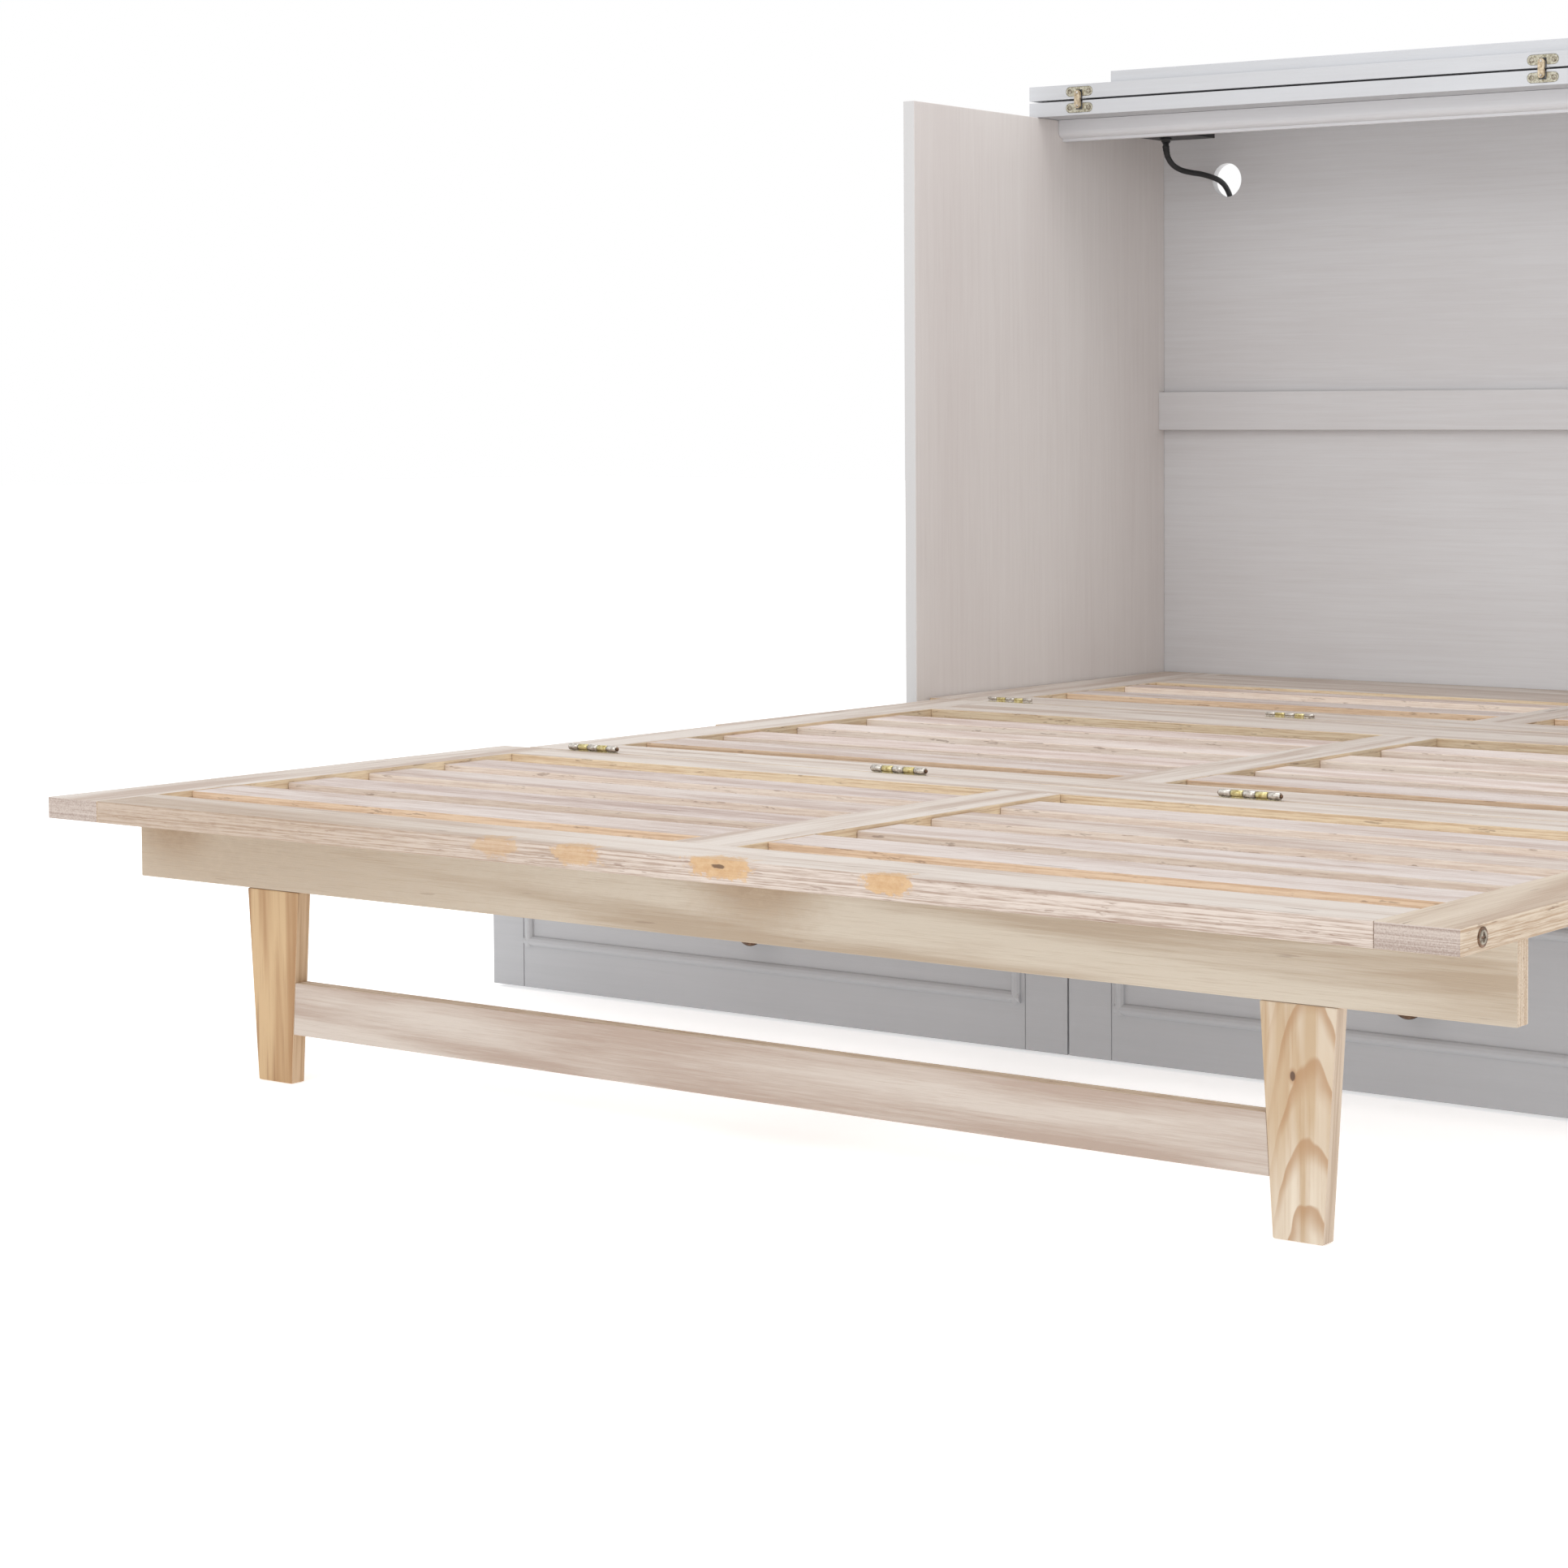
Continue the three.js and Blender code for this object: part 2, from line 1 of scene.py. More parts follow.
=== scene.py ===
"""Looks of the cabinet wall bed: materials, small hardware, slats and the power cord around the CAD frame."""

import json
import math

import bmesh
import bpy
from mathutils import Matrix, Vector


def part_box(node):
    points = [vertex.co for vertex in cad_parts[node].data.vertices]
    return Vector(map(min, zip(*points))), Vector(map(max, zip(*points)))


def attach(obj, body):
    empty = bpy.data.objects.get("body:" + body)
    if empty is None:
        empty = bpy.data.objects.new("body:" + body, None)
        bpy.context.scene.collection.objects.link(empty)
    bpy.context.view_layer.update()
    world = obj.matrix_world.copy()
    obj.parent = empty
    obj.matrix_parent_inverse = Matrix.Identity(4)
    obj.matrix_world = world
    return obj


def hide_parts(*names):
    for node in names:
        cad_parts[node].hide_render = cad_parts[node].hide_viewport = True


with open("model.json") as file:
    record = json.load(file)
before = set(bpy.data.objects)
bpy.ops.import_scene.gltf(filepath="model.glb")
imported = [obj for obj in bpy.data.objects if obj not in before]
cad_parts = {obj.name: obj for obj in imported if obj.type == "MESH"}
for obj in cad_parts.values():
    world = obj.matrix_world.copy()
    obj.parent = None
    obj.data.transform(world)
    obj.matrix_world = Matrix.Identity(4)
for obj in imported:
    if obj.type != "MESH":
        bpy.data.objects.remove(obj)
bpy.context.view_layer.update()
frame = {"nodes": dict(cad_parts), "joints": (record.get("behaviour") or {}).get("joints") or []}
nodes = frame["nodes"]

MM = 0.001
CAD_KNUCKLE = 4 * MM  # radius of the knuckles of the CAD's fold hinges
FOLD_AXIS_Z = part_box("fold_hinge_foot_1")[1].z - CAD_KNUCKLE
PLATFORM_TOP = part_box("foot_rail_front")[1].z
FOLD_1 = next(j["pos_m"][1] for j in frame["joints"] if j["name"] == "foot_fold")
FOLD_2 = next(j["pos_m"][1] for j in frame["joints"] if j["name"] == "middle_fold")
HINGE_X = [sum(c.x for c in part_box(f"fold_hinge_foot_{n}")) / 2 for n in (1, 2, 3, 4)]


# ---- Camera -----------------------------------------------------------------------------------


def make_camera():
    data = bpy.data.cameras.new("camera")
    data.lens = 74.77
    data.sensor_width = 36
    data.shift_x = -0.2764
    data.shift_y = -0.1264
    camera = bpy.data.objects.new("camera", data)
    camera.location = (1.9144, -3.0860, 0.6422)
    camera.rotation_euler = (math.radians(87.27), 0, math.radians(32.66))
    bpy.context.scene.collection.objects.link(camera)
    bpy.context.scene.camera = camera


make_camera()


# ---- Materials --------------------------------------------------------------------------------

X, Y, Z = 0, 1, 2


def srgb(r, g, b):
    """A colour as seen on a screen, 0 to 255, as the linear colour that a shader takes."""
    parts = [c / 255 for c in (r, g, b)]
    return tuple(c / 12.92 if c <= 0.04045 else ((c + 0.055) / 1.055) ** 2.4 for c in parts) + (1.0,)


class Graph:
    """A material's nodes, built with short calls."""

    def __init__(self, name, roughness=0.5, metallic=0.0):
        self.material = bpy.data.materials.new(name)
        self.material.use_nodes = True
        self.tree = self.material.node_tree
        self.shader = self.tree.nodes["Principled BSDF"]
        self.shader.inputs["Roughness"].default_value = roughness
        self.shader.inputs["Metallic"].default_value = metallic
        self.coords = self.tree.nodes.new("ShaderNodeTexCoord")

    def feed(self, socket, value):
        if isinstance(value, bpy.types.NodeSocket):
            self.tree.links.new(value, socket)
        else:
            socket.default_value = value

    def add(self, kind, inputs, **settings):
        node = self.tree.nodes.new(kind)
        for key, value in settings.items():
            setattr(node, key, value)
        for key, value in inputs.items():
            self.feed(node.inputs[key], value)
        return node

    def math(self, operation, a, b=0.0):
        return self.add("ShaderNodeMath", {0: a, 1: b}, operation=operation).outputs[0]

    def place(self, scale, offset=(0, 0, 0)):
        values = {"Vector": self.coords.outputs["Object"], "Scale": scale, "Location": offset}
        return self.add("ShaderNodeMapping", values).outputs[0]

    def noise(self, vector, scale, detail=2.0, roughness=0.5, distortion=0.0):
        values = {"Vector": vector, "Scale": scale, "Detail": detail, "Roughness": roughness}
        return self.add("ShaderNodeTexNoise", {**values, "Distortion": distortion}).outputs[0]

    def wave(self, vector, scale, distortion, detail, detail_scale):
        values = {"Vector": vector, "Scale": scale, "Distortion": distortion, "Detail": detail}
        values["Detail Scale"] = detail_scale
        node = self.add("ShaderNodeTexWave", values, wave_type="BANDS", bands_direction="DIAGONAL")
        return node.outputs["Fac"]

    def vector_math(self, operation, a, b=(0, 0, 0)):
        return self.add("ShaderNodeVectorMath", {0: a, 1: b}, operation=operation)

    def step(self, value, low, high, to=(0.0, 1.0)):
        """Smooth rise from to[0] at low to to[1] at high."""
        values = {0: value, 1: low, 2: high, 3: to[0], 4: to[1]}
        return self.add("ShaderNodeMapRange", values, interpolation_type="SMOOTHSTEP").outputs[0]

    def ramp(self, factor, colours):
        node = self.add("ShaderNodeValToRGB", {"Fac": factor})
        elements = node.color_ramp.elements
        while len(elements) < len(colours):
            elements.new(0.5)
        for element, (position, colour) in zip(elements, colours):
            element.position = position
            element.color = colour
        return node.outputs[0]

    def mix(self, factor, a, b, blend="MIX"):
        node = self.add("ShaderNodeMix", {}, data_type="RGBA", blend_type=blend)
        self.feed(node.inputs[0], factor)
        self.feed(node.inputs[6], a)
        self.feed(node.inputs[7], b)
        return node.outputs[2]

    def component(self, vector, axis):
        return self.add("ShaderNodeSeparateXYZ", {0: vector}).outputs[axis]

    def facing(self, axis):
        """1 where the surface looks along the object's own axis, 0 where it doesn't."""
        size = self.math("ABSOLUTE", self.component(self.coords.outputs["Normal"], axis))
        return self.step(size, 0.55, 0.8)

    def bump(self, height, distance, strength=1.0):
        values = {"Height": height, "Distance": distance, "Strength": strength}
        self.feed(self.shader.inputs["Normal"], self.add("ShaderNodeBump", values).outputs[0])

    def colour(self, value):
        self.feed(self.shader.inputs["Base Color"], value)

    def roughness(self, value):
        self.feed(self.shader.inputs["Roughness"], value)


def along(axis, stretch, across=1.0):
    """Texture scale for grain that runs along an axis."""
    return tuple(stretch if n == axis else across for n in range(3))


def wood(
    name, grain, thick, face, edge,
    seed=0, contrast=0.5, figure=0.35, checks=0.6, fineness=1.0, spots=(), end=None,
):
    """Bare laminated board.

    grain and thick are axis numbers. face is three colours from light to dark, edge is the light and dark
    colours of the layers, and end the same for the end grain. contrast is the streaks' share of the tone,
    figure how strong the arches are, and checks how dark the short cracks are. spots are the arguments of
    the board's patches.
    """
    g = Graph(name, 0.62)
    shift = (seed * 0.37, seed * 0.53, seed * 0.71)
    broad = g.noise(g.place(along(grain, 0.07), shift), 15, 3, 0.6, 0.6)
    streaks = g.noise(g.place(along(grain, 0.022 * fineness), shift), 330 * fineness, 4, 0.72, 0.2)
    fine = g.noise(g.place(along(grain, 0.02), shift), 900, 3, 0.65)
    arches = g.wave(g.place(along(grain, 0.09), shift), 11, 9, 2, 1.2)
    tone = g.math("ADD", g.math("MULTIPLY", broad, 1 - contrast), g.math("MULTIPLY", streaks, contrast))
    tone = g.math("ADD", tone, g.math("MULTIPLY", g.math("SUBTRACT", arches, 0.5), figure * 0.3))
    colour = g.ramp(tone, [(0.43, face[0]), (0.51, face[1]), (0.60, face[2])])
    pores = g.step(fine, 0.52, 0.68)
    colour = g.mix(g.math("MULTIPLY", pores, 0.25 + 0.5 * contrast), colour, face[2])
    cracks = g.step(g.noise(g.place(along(grain, 0.07), shift), 150, 2, 0.5), 0.70, 0.73)
    colour = g.mix(g.math("MULTIPLY", cracks, checks), colour, srgb(118, 96, 80))
    sheets = g.place(tuple(1.0 if n == thick else 0.005 for n in range(3)), shift)
    layers = g.noise(sheets, 520, 3, 0.7)
    fibres = g.noise(g.place(along(grain, 0.05), shift), 620, 3, 0.7)
    tone = g.math("ADD", g.math("MULTIPLY", layers, 0.6), g.math("MULTIPLY", fibres, 0.4))
    edge_colour = g.ramp(tone, [(0.44, edge[0]), (0.58, edge[1])])
    specks = g.step(g.noise(g.place(along(grain, 0.12), shift), 230, 3, 0.7), 0.61, 0.67)
    edge_colour = g.mix(g.math("MULTIPLY", specks, 0.5), edge_colour, srgb(120, 92, 74))
    if end:
        edge_colour = g.mix(g.facing(grain), edge_colour, g.ramp(tone, [(0.42, end[0]), (0.60, end[1])]))
    colour = g.mix(g.facing(thick), edge_colour, colour)
    for spot in spots:
        colour = patch(g, colour, **spot)
    g.colour(colour)
    g.roughness(g.step(streaks, 0.3, 0.7, (0.56, 0.7)))
    g.bump(g.math("ADD", g.math("MULTIPLY", fine, 0.7), g.math("MULTIPLY", streaks, 0.6)), 0.0006, 0.5)
    return g.material


def distance_from(g, centre, scale):
    """How far the surface is from a point, with each axis scaled."""
    reach = g.vector_math("SUBTRACT", g.coords.outputs["Object"], centre).outputs[0]
    reach = g.vector_math("MULTIPLY", reach, scale).outputs[0]
    return g.vector_math("LENGTH", reach).outputs["Value"]


def patch(g, colour, centre, radii, tones, strength=0.9, soft=0.35, rough=2.2, pinhole=False):
    """A patch of another colour, such as filler or painted shade, some with a dark knot left open in it.

    soft is the part of its radius that its edge fades over, and rough how ragged that edge is.
    """
    size = distance_from(g, centre, tuple(1 / r for r in radii))
    blotches = g.noise(g.place((1, 1, 1.6)), 95, 4, 0.75)
    ragged = g.math("ADD", size, g.math("MULTIPLY", g.math("SUBTRACT", blotches, 0.5), rough))
    tone = g.ramp(blotches, [(0.35, tones[0]), (0.65, tones[1])])
    colour = g.mix(g.step(ragged, 1.15 - soft, 1.15, (strength, 0.0)), colour, tone)
    if not pinhole:
        return colour
    hole = g.math("ADD", distance_from(g, centre, (0.35, 1, 1.3)), g.math("MULTIPLY", blotches, 0.004))
    return g.mix(g.step(hole, 0.0038, 0.0050, (0.85, 0.0)), colour, srgb(84, 58, 40))


PINE = {
    "left": (srgb(190, 160, 120), srgb(176, 143, 104), srgb(158, 120, 80), srgb(136, 96, 58)),
    "right": (srgb(212, 200, 182), srgb(200, 184, 163), srgb(184, 160, 130), srgb(164, 126, 88)),
}
PINE_EDGE = {
    "left": (srgb(198, 170, 138), srgb(178, 146, 112)),
    "right": (srgb(200, 182, 162), srgb(180, 158, 136)),
}


def pine(side, seed, arch_x=None, knot=None):
    """Clear pine leg, laminated at its sides. Its growth rings show as upright streaks, and as arches where
    arch_x gives the line that they stand on."""
    g = Graph(f"pine_{side}", 0.5)
    light, middle, deep, late = PINE[side]
    shift = (seed * 0.31, seed * 0.47, seed * 0.59)
    broad = g.noise(g.place((1, 1, 0.06), shift), 55, 2, 0.5, 0.2)
    fine = g.noise(g.place((1, 1, 0.03), shift), 520, 3, 0.65)
    lines = g.noise(g.place((1, 1, 0.03), shift), 130, 2, 0.5, 0.2)
    colour = g.ramp(broad, [(0.38, light), (0.5, middle), (0.62, deep)])
    streak = g.step(lines, 0.55, 0.66)
    colour = g.mix(g.math("MULTIPLY", streak, 0.6 if arch_x is None else 0.2), colour, late)
    if arch_x is not None:
        colour = g.mix(arch_rings(g, arch_x, shift), colour, late)
    colour = g.mix(g.math("MULTIPLY", g.step(fine, 0.52, 0.7), 0.22), colour, late)
    layers = g.noise(g.place((0.03, 1, 0.02), shift), 330, 2, 0.6)
    edge_light, edge_dark = PINE_EDGE[side]
    colour = g.mix(g.facing(Y), g.ramp(layers, [(0.42, edge_light), (0.6, edge_dark)]), colour)
    if knot:
        size = g.math("ADD", distance_from(g, knot, (1, 0.2, 0.6)), g.math("MULTIPLY", fine, 0.0016))
        colour = g.mix(g.step(size, 0.0030, 0.0060, (0.5, 0.0)), colour, srgb(158, 112, 70))
        colour = g.mix(g.step(size, 0.0026, 0.0036, (0.9, 0.0)), colour, srgb(78, 52, 36))
    g.colour(colour)
    g.roughness(g.step(broad, 0.3, 0.7, (0.42, 0.58)))
    g.bump(g.math("ADD", g.math("MULTIPLY", fine, 0.5), g.math("MULTIPLY", streak, 0.3)), 0.0004, 0.4)
    return g.material


def arch_rings(g, arch_x, shift):
    """Flat-sawn arches stacked up the board, each sharp above and fading below."""
    place = g.coords.outputs["Object"]
    reach = g.math("SUBTRACT", g.component(place, X), arch_x)
    wobble = g.noise(g.place((1, 1, 0.5), shift), 28, 2, 0.5)
    drop = g.math("MULTIPLY", g.math("MULTIPLY", reach, reach), 62.0)
    height = g.math("ADD", g.component(place, Z), g.math("ADD", drop, g.math("MULTIPLY", wobble, 0.055)))
    ring = g.math("FRACT", g.math("DIVIDE", height, 0.058))
    band = g.math("MULTIPLY", g.step(ring, 0.52, 0.92), g.step(ring, 0.93, 0.99, (1.0, 0.0)))
    inside = g.step(g.math("ABSOLUTE", reach), 0.024, 0.036, (1.0, 0.25))
    return g.math("MULTIPLY", g.math("MULTIPLY", band, inside), 0.75)


def paint(name, grain, light, dark, seed=0, wash=0.5, end=None):
    """Whitewash over wood, with the grain showing through as thin soft streaks.

    wash is how strongly it shows, and end the colour of the faces that look along Y.
    """
    g = Graph(name, 0.48)
    shift = (seed * 0.41, seed * 0.67, seed * 0.29)
    cloud = g.noise(g.place(along(grain, 0.35), shift), 3.2, 3, 0.5)
    streaks = g.noise(g.place(along(grain, 0.03), shift), 170, 4, 0.65, 0.2)
    fine = g.noise(g.place(along(grain, 0.02), shift), 520, 3, 0.6)
    tone = g.math("ADD", g.math("MULTIPLY", streaks, 0.7 * wash), g.math("MULTIPLY", cloud, 1 - 0.7 * wash))
    colour = g.ramp(tone, [(0.38, light), (0.64, dark)])
    pores = g.math("MULTIPLY", g.step(fine, 0.54, 0.72), wash)
    colour = g.mix(g.math("MULTIPLY", pores, 0.12), colour, srgb(150, 138, 130))
    if end:
        colour = g.mix(g.facing(Y), colour, end)
    g.colour(colour)
    g.roughness(g.step(streaks, 0.3, 0.7, (0.38, 0.5)))
    g.bump(g.math("ADD", g.math("MULTIPLY", fine, 0.7), g.math("MULTIPLY", streaks, 0.5)), 0.0004, 0.35)
    return g.material


def metal(name, bright, dull, roughness):
    """Plated metal with clouded tarnish and fine rubbing marks."""
    g = Graph(name, roughness, 1.0)
    cloud = g.noise(g.place((1, 1, 1)), 260, 3, 0.6)
    marks = g.noise(g.place((0.15, 1, 1)), 2400, 2, 0.6)
    g.colour(g.ramp(cloud, [(0.35, bright), (0.7, dull)]))
    g.roughness(g.step(marks, 0.3, 0.7, (roughness * 0.75, roughness * 1.35)))
    g.bump(marks, 0.00015, 0.3)
    return g.material


def plastic(name, colour, worn, roughness, grain_scale):
    """Moulded plastic or rubber with a fine surface grain."""
    g = Graph(name, roughness)
    cloud = g.noise(g.place((1, 1, 1)), 40, 3, 0.6)
    grain = g.noise(g.place((1, 1, 1)), grain_scale, 2, 0.6)
    g.colour(g.ramp(cloud, [(0.35, colour), (0.72, worn)]))
    g.roughness(g.step(grain, 0.3, 0.7, (roughness * 0.85, roughness * 1.15)))
    g.bump(grain, 0.00012, 0.4)
    return g.material


PLY_FACE = (srgb(208, 199, 191), srgb(197, 185, 175), srgb(178, 160, 147))
RIGHT_FACE = (srgb(203, 189, 172), srgb(193, 177, 159), srgb(176, 155, 136))
PLY_EDGE = (srgb(222, 202, 172), srgb(196, 168, 136))
FRONT_EDGE = (srgb(203, 190, 180), srgb(162, 142, 128))
END_GRAIN = (srgb(190, 177, 168), srgb(148, 130, 120))
APRON_FACE = (srgb(196, 185, 169), srgb(186, 173, 156), srgb(170, 153, 133))
APRON_EDGE = (srgb(206, 190, 170), srgb(172, 146, 120))
STRETCHER_FACE = (srgb(195, 184, 174), srgb(184, 170, 159), srgb(168, 149, 136))
# Slat edges' laminate colour, lightened with painted light against the shade in the gaps between slats.
LIT_SLAT_EDGE = (srgb(222, 208, 195), srgb(203, 183, 168))
# Laminate edge colour warmed with painted light: the glow of light bounced onto the front edge of each
# section's first slat.
LIT_GOLDEN_EDGE = (srgb(224, 198, 170), srgb(200, 168, 138))
SLAT_FACES = [
    (srgb(205, 194, 188), srgb(192, 177, 168), srgb(170, 148, 137)),
    (srgb(209, 199, 194), srgb(197, 184, 177), srgb(178, 158, 147)),
    (srgb(204, 192, 187), srgb(190, 174, 166), srgb(166, 144, 134)),
    (srgb(207, 196, 188), srgb(194, 180, 170), srgb(173, 151, 139)),
]
FILLER = (srgb(202, 168, 126), srgb(186, 146, 100))
# Tones of the patches of painted shade below.
SHADE_TONES = (srgb(164, 141, 115), srgb(148, 122, 94))


def shade_patch(centre, radii, strength):
    """A soft brown patch of painted shade on the wood."""
    look = {"tones": SHADE_TONES, "strength": strength, "soft": 0.95, "rough": 0.6}
    return {"centre": centre, "radii": radii, **look}


def front_rail_spots():
    """Four smears of filler along the front rail's top edge, one with a knot, and a left end browned by
    painted shade.
    """
    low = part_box("foot_rail_front")[0]
    z = PLATFORM_TOP - 0.006
    places = [(-0.182, 0.026, 0.6), (-0.082, 0.027, 0.75), (0.081, 0.037, 0.9), (0.262, 0.024, 0.9)]
    spots = [
        {"centre": (x, low.y, z), "radii": (half, 0.022, 0.011), "tones": FILLER, "strength": strength}
        for x, half, strength in places
    ]
    spots[2]["pinhole"] = True
    # The last patch is painted shade that darkens the rail's left end.
    return [*spots, shade_patch((low.x, low.y, z), (0.75, 0.1, 0.1), 0.5)]


def apron_shade_spots():
    """Painted shadows on the apron's top just under the front rail's overhang, and painted shade that browns
    its left end.
    """
    low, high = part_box("leg_apron")
    return [
        # Two painted shadows under the overhang, then painted shade over the left end.
        shade_patch((0.034, low.y, high.z - 0.016), (0.095, 0.05, 0.050), 0.75),
        shade_patch((low.x + 0.050, low.y, high.z - 0.010), (0.070, 0.05, 0.046), 0.75),
        shade_patch((low.x, low.y, high.z), (0.75, 0.1, 0.2), 0.5),
    ]


brass = metal("brass", srgb(226, 216, 166), srgb(170, 150, 92), 0.28)
zinc = metal("zinc", srgb(228, 224, 216), srgb(150, 138, 128), 0.26)
link_copper = metal("link_copper", srgb(216, 200, 174), srgb(152, 132, 106), 0.34)
plate_nickel = metal("plate_nickel", srgb(206, 202, 186), srgb(128, 120, 96), 0.3)
screw_dark = metal("screw_dark", srgb(164, 156, 142), srgb(84, 70, 56), 0.34)
nickel = metal("nickel", srgb(214, 210, 204), srgb(150, 142, 132), 0.28)
bronze = metal("bronze", srgb(132, 104, 84), srgb(78, 58, 46), 0.36)
black_plastic = plastic("black_plastic", srgb(24, 24, 26), srgb(36, 36, 38), 0.5, 1800)
cord_jacket = plastic("cord_jacket", srgb(30, 30, 32), srgb(44, 43, 44), 0.55, 2600)
caster_rubber = plastic("caster_rubber", srgb(52, 52, 54), srgb(70, 69, 68), 0.6, 900)


def dress_nodes():
    """A material for every CAD node that stays in view."""
    white, shade = srgb(217, 217, 219), srgb(206, 204, 205)
    # The drawer front, upper front and fold bearer take the cabinet's whitewash darkened to grey: painted
    # shade from the platform above them.
    front = (srgb(178, 179, 182), srgb(168, 169, 172))
    upright = paint("paint_upright", Z, srgb(226, 221, 218), srgb(215, 208, 205), 1, 0.4, srgb(196, 195, 195))
    level = paint("paint_level", X, white, shade, 2)
    lid = paint("paint_lid", X, srgb(199, 201, 205), srgb(188, 189, 192), 3, 0.35)
    drawer = paint("paint_drawer_painted_shade", X, *front, 4, 0.25)
    cleat = wood("cleat_wood", Y, X, APRON_FACE, PLY_EDGE, 5)
    box_x = wood("box_wood_x", X, Y, APRON_FACE, PLY_EDGE, 6)
    box_y = wood("box_wood_y", Y, X, APRON_FACE, PLY_EDGE, 7)
    box_flat = wood("box_wood_flat", X, Z, APRON_FACE, PLY_EDGE, 8)
    leg_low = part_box("leg_right")[0]
    by_name = {
        "side_panel": upright,
        "head_cleat": cleat,
        "back_panel": level,
        "back_mid_rail": level,
        "top_rail": paint("paint_top_rail", X, srgb(222, 223, 226), srgb(211, 211, 214), 21, 0.35),
        "lid_rear_leaf": lid,
        "lid_front_leaf": lid,
        "lid_stiffener": lid,
        "lid_hinge_plate": plate_nickel,
        "lid_hinge_link": link_copper,
        "power_module": black_plastic,
        "upper_front": drawer,
        "fold_bearer": drawer,
        "drawer_front": drawer,
        "drawer_side": box_y,
        "drawer_back": box_x,
        "drawer_bottom": box_flat,
        "leg_apron": wood("apron_wood", X, Y, APRON_FACE, APRON_EDGE, 9, 0.25, 0.3, 0.3, spots=apron_shade_spots()),
        "leg_stretcher": wood("stretcher_wood", X, Y, STRETCHER_FACE, APRON_EDGE, 10, 0.25, 0.4, 0.0, 1.3),
        "leg_left": pine("left", 1),
        "leg_right": pine("right", 2, leg_low.x + 0.048, tuple(leg_low + Vector((0.031, 0, 0.132)))),
        "foot_rail_left": wood("ply_foot_left", Y, Z, PLY_FACE, PLY_EDGE, 11, end=END_GRAIN),
        "foot_rail_right": wood("ply_foot_right", Y, Z, RIGHT_FACE, APRON_EDGE, 12, 0.3, end=END_GRAIN),
        "foot_rail_front": wood("ply_front", X, Z, PLY_FACE, FRONT_EDGE, 13, spots=front_rail_spots()),
        "foot_rail_rear": wood("ply_foot_rear", X, Z, PLY_FACE, PLY_EDGE, 14),
        "middle_rail_left": wood("ply_middle_left", Y, Z, PLY_FACE, PLY_EDGE, 15),
        "middle_rail_right": wood("ply_middle_right", Y, Z, PLY_FACE, PLY_EDGE, 16),
        "middle_rail": wood("ply_middle_cross", X, Z, PLY_FACE, PLY_EDGE, 17),
        "head_rail_left": wood("ply_head_left", Y, Z, PLY_FACE, PLY_EDGE, 18),
        "head_rail_right": wood("ply_head_right", Y, Z, PLY_FACE, PLY_EDGE, 19),
        "head_rail": wood("ply_head_cross", X, Z, PLY_FACE, PLY_EDGE, 20),
    }
    for name, node in nodes.items():
        matches = [key for key in by_name if name.startswith(key)]
        if matches:
            node.data.materials.clear()
            node.data.materials.append(by_name[max(matches, key=len)])


SOFT_EDGES = {
    0.8: ("side_panel", "back_mid_rail", "lid_rear_leaf", "lid_front_leaf", "lid_stiffener", "drawer_front"),
    0.9: ("foot_rail", "middle_rail", "head_rail", "leg_", "head_cleat"),
    0.6: ("top_rail", "upper_front", "fold_bearer", "drawer_side", "drawer_back", "power_module"),
    0.3: ("lid_hinge",),
}


def soften_nodes():
    """Real boards and plates have eased arrises: a weld and a small bevel on each CAD node whose name starts
    with a prefix in SOFT_EDGES.
    """
    for width, prefixes in SOFT_EDGES.items():
        for name, node in nodes.items():
            if name.startswith(prefixes):
                weld = node.modifiers.new("weld", "WELD")
                weld.merge_threshold = 0.00002
                bevel = node.modifiers.new("eased", "BEVEL")
                bevel.width = width * MM
                bevel.segments = 2
                bevel.limit_method = "ANGLE"
                bevel.angle_limit = math.radians(40)


# ---- Mesh helpers -----------------------------------------------------------------------------


def finish_mesh(name, bm, material, body, smooth=False):
    """Turns a bmesh into a piece that rides on a body."""
    bmesh.ops.recalc_face_normals(bm, faces=bm.faces)
    mesh = bpy.data.meshes.new(name)
    bm.to_mesh(mesh)
    bm.free()
    for polygon in mesh.polygons:
        polygon.use_smooth = smooth
    mesh.materials.append(material)
    piece = bpy.data.objects.new(name, mesh)
    bpy.context.scene.collection.objects.link(piece)
    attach(piece, body)
    return piece


def add_board(bm, low, high, bevel=0.0009):
    """A board between two corners, with eased arrises."""
    part = bmesh.new()
    bmesh.ops.create_cube(part, size=1)
    size = Vector(high) - Vector(low)
    middle = (Vector(high) + Vector(low)) / 2
    matrix = Matrix.Translation(middle) @ Matrix.Diagonal((*size, 1))
    bmesh.ops.transform(part, matrix=matrix, verts=part.verts)
    bmesh.ops.bevel(part, geom=part.edges, offset=bevel, segments=2, profile=0.6, affect="EDGES")
    merge(bm, part)


def add_turned(bm, profile, matrix, segments=32):
    """A closed round piece: profile is (radius, height) along the local +Z, from end to end."""
    part = bmesh.new()
    rings = []
    for radius, height in profile:
        if radius < 1e-7:
            rings.append([part.verts.new((0, 0, height))])
            continue
        rings.append([part.verts.new(p) for p in circle(radius, height, segments)])
    for lower, upper in zip(rings, rings[1:]):
        for n in range(segments):
            m = (n + 1) % segments
            below = [lower[k % len(lower)] for k in (n, m)]
            above = [upper[k % len(upper)] for k in (m, n)]
            part.faces.new(list(dict.fromkeys(below + above)))
    bmesh.ops.transform(part, matrix=matrix, verts=part.verts)
    merge(bm, part)


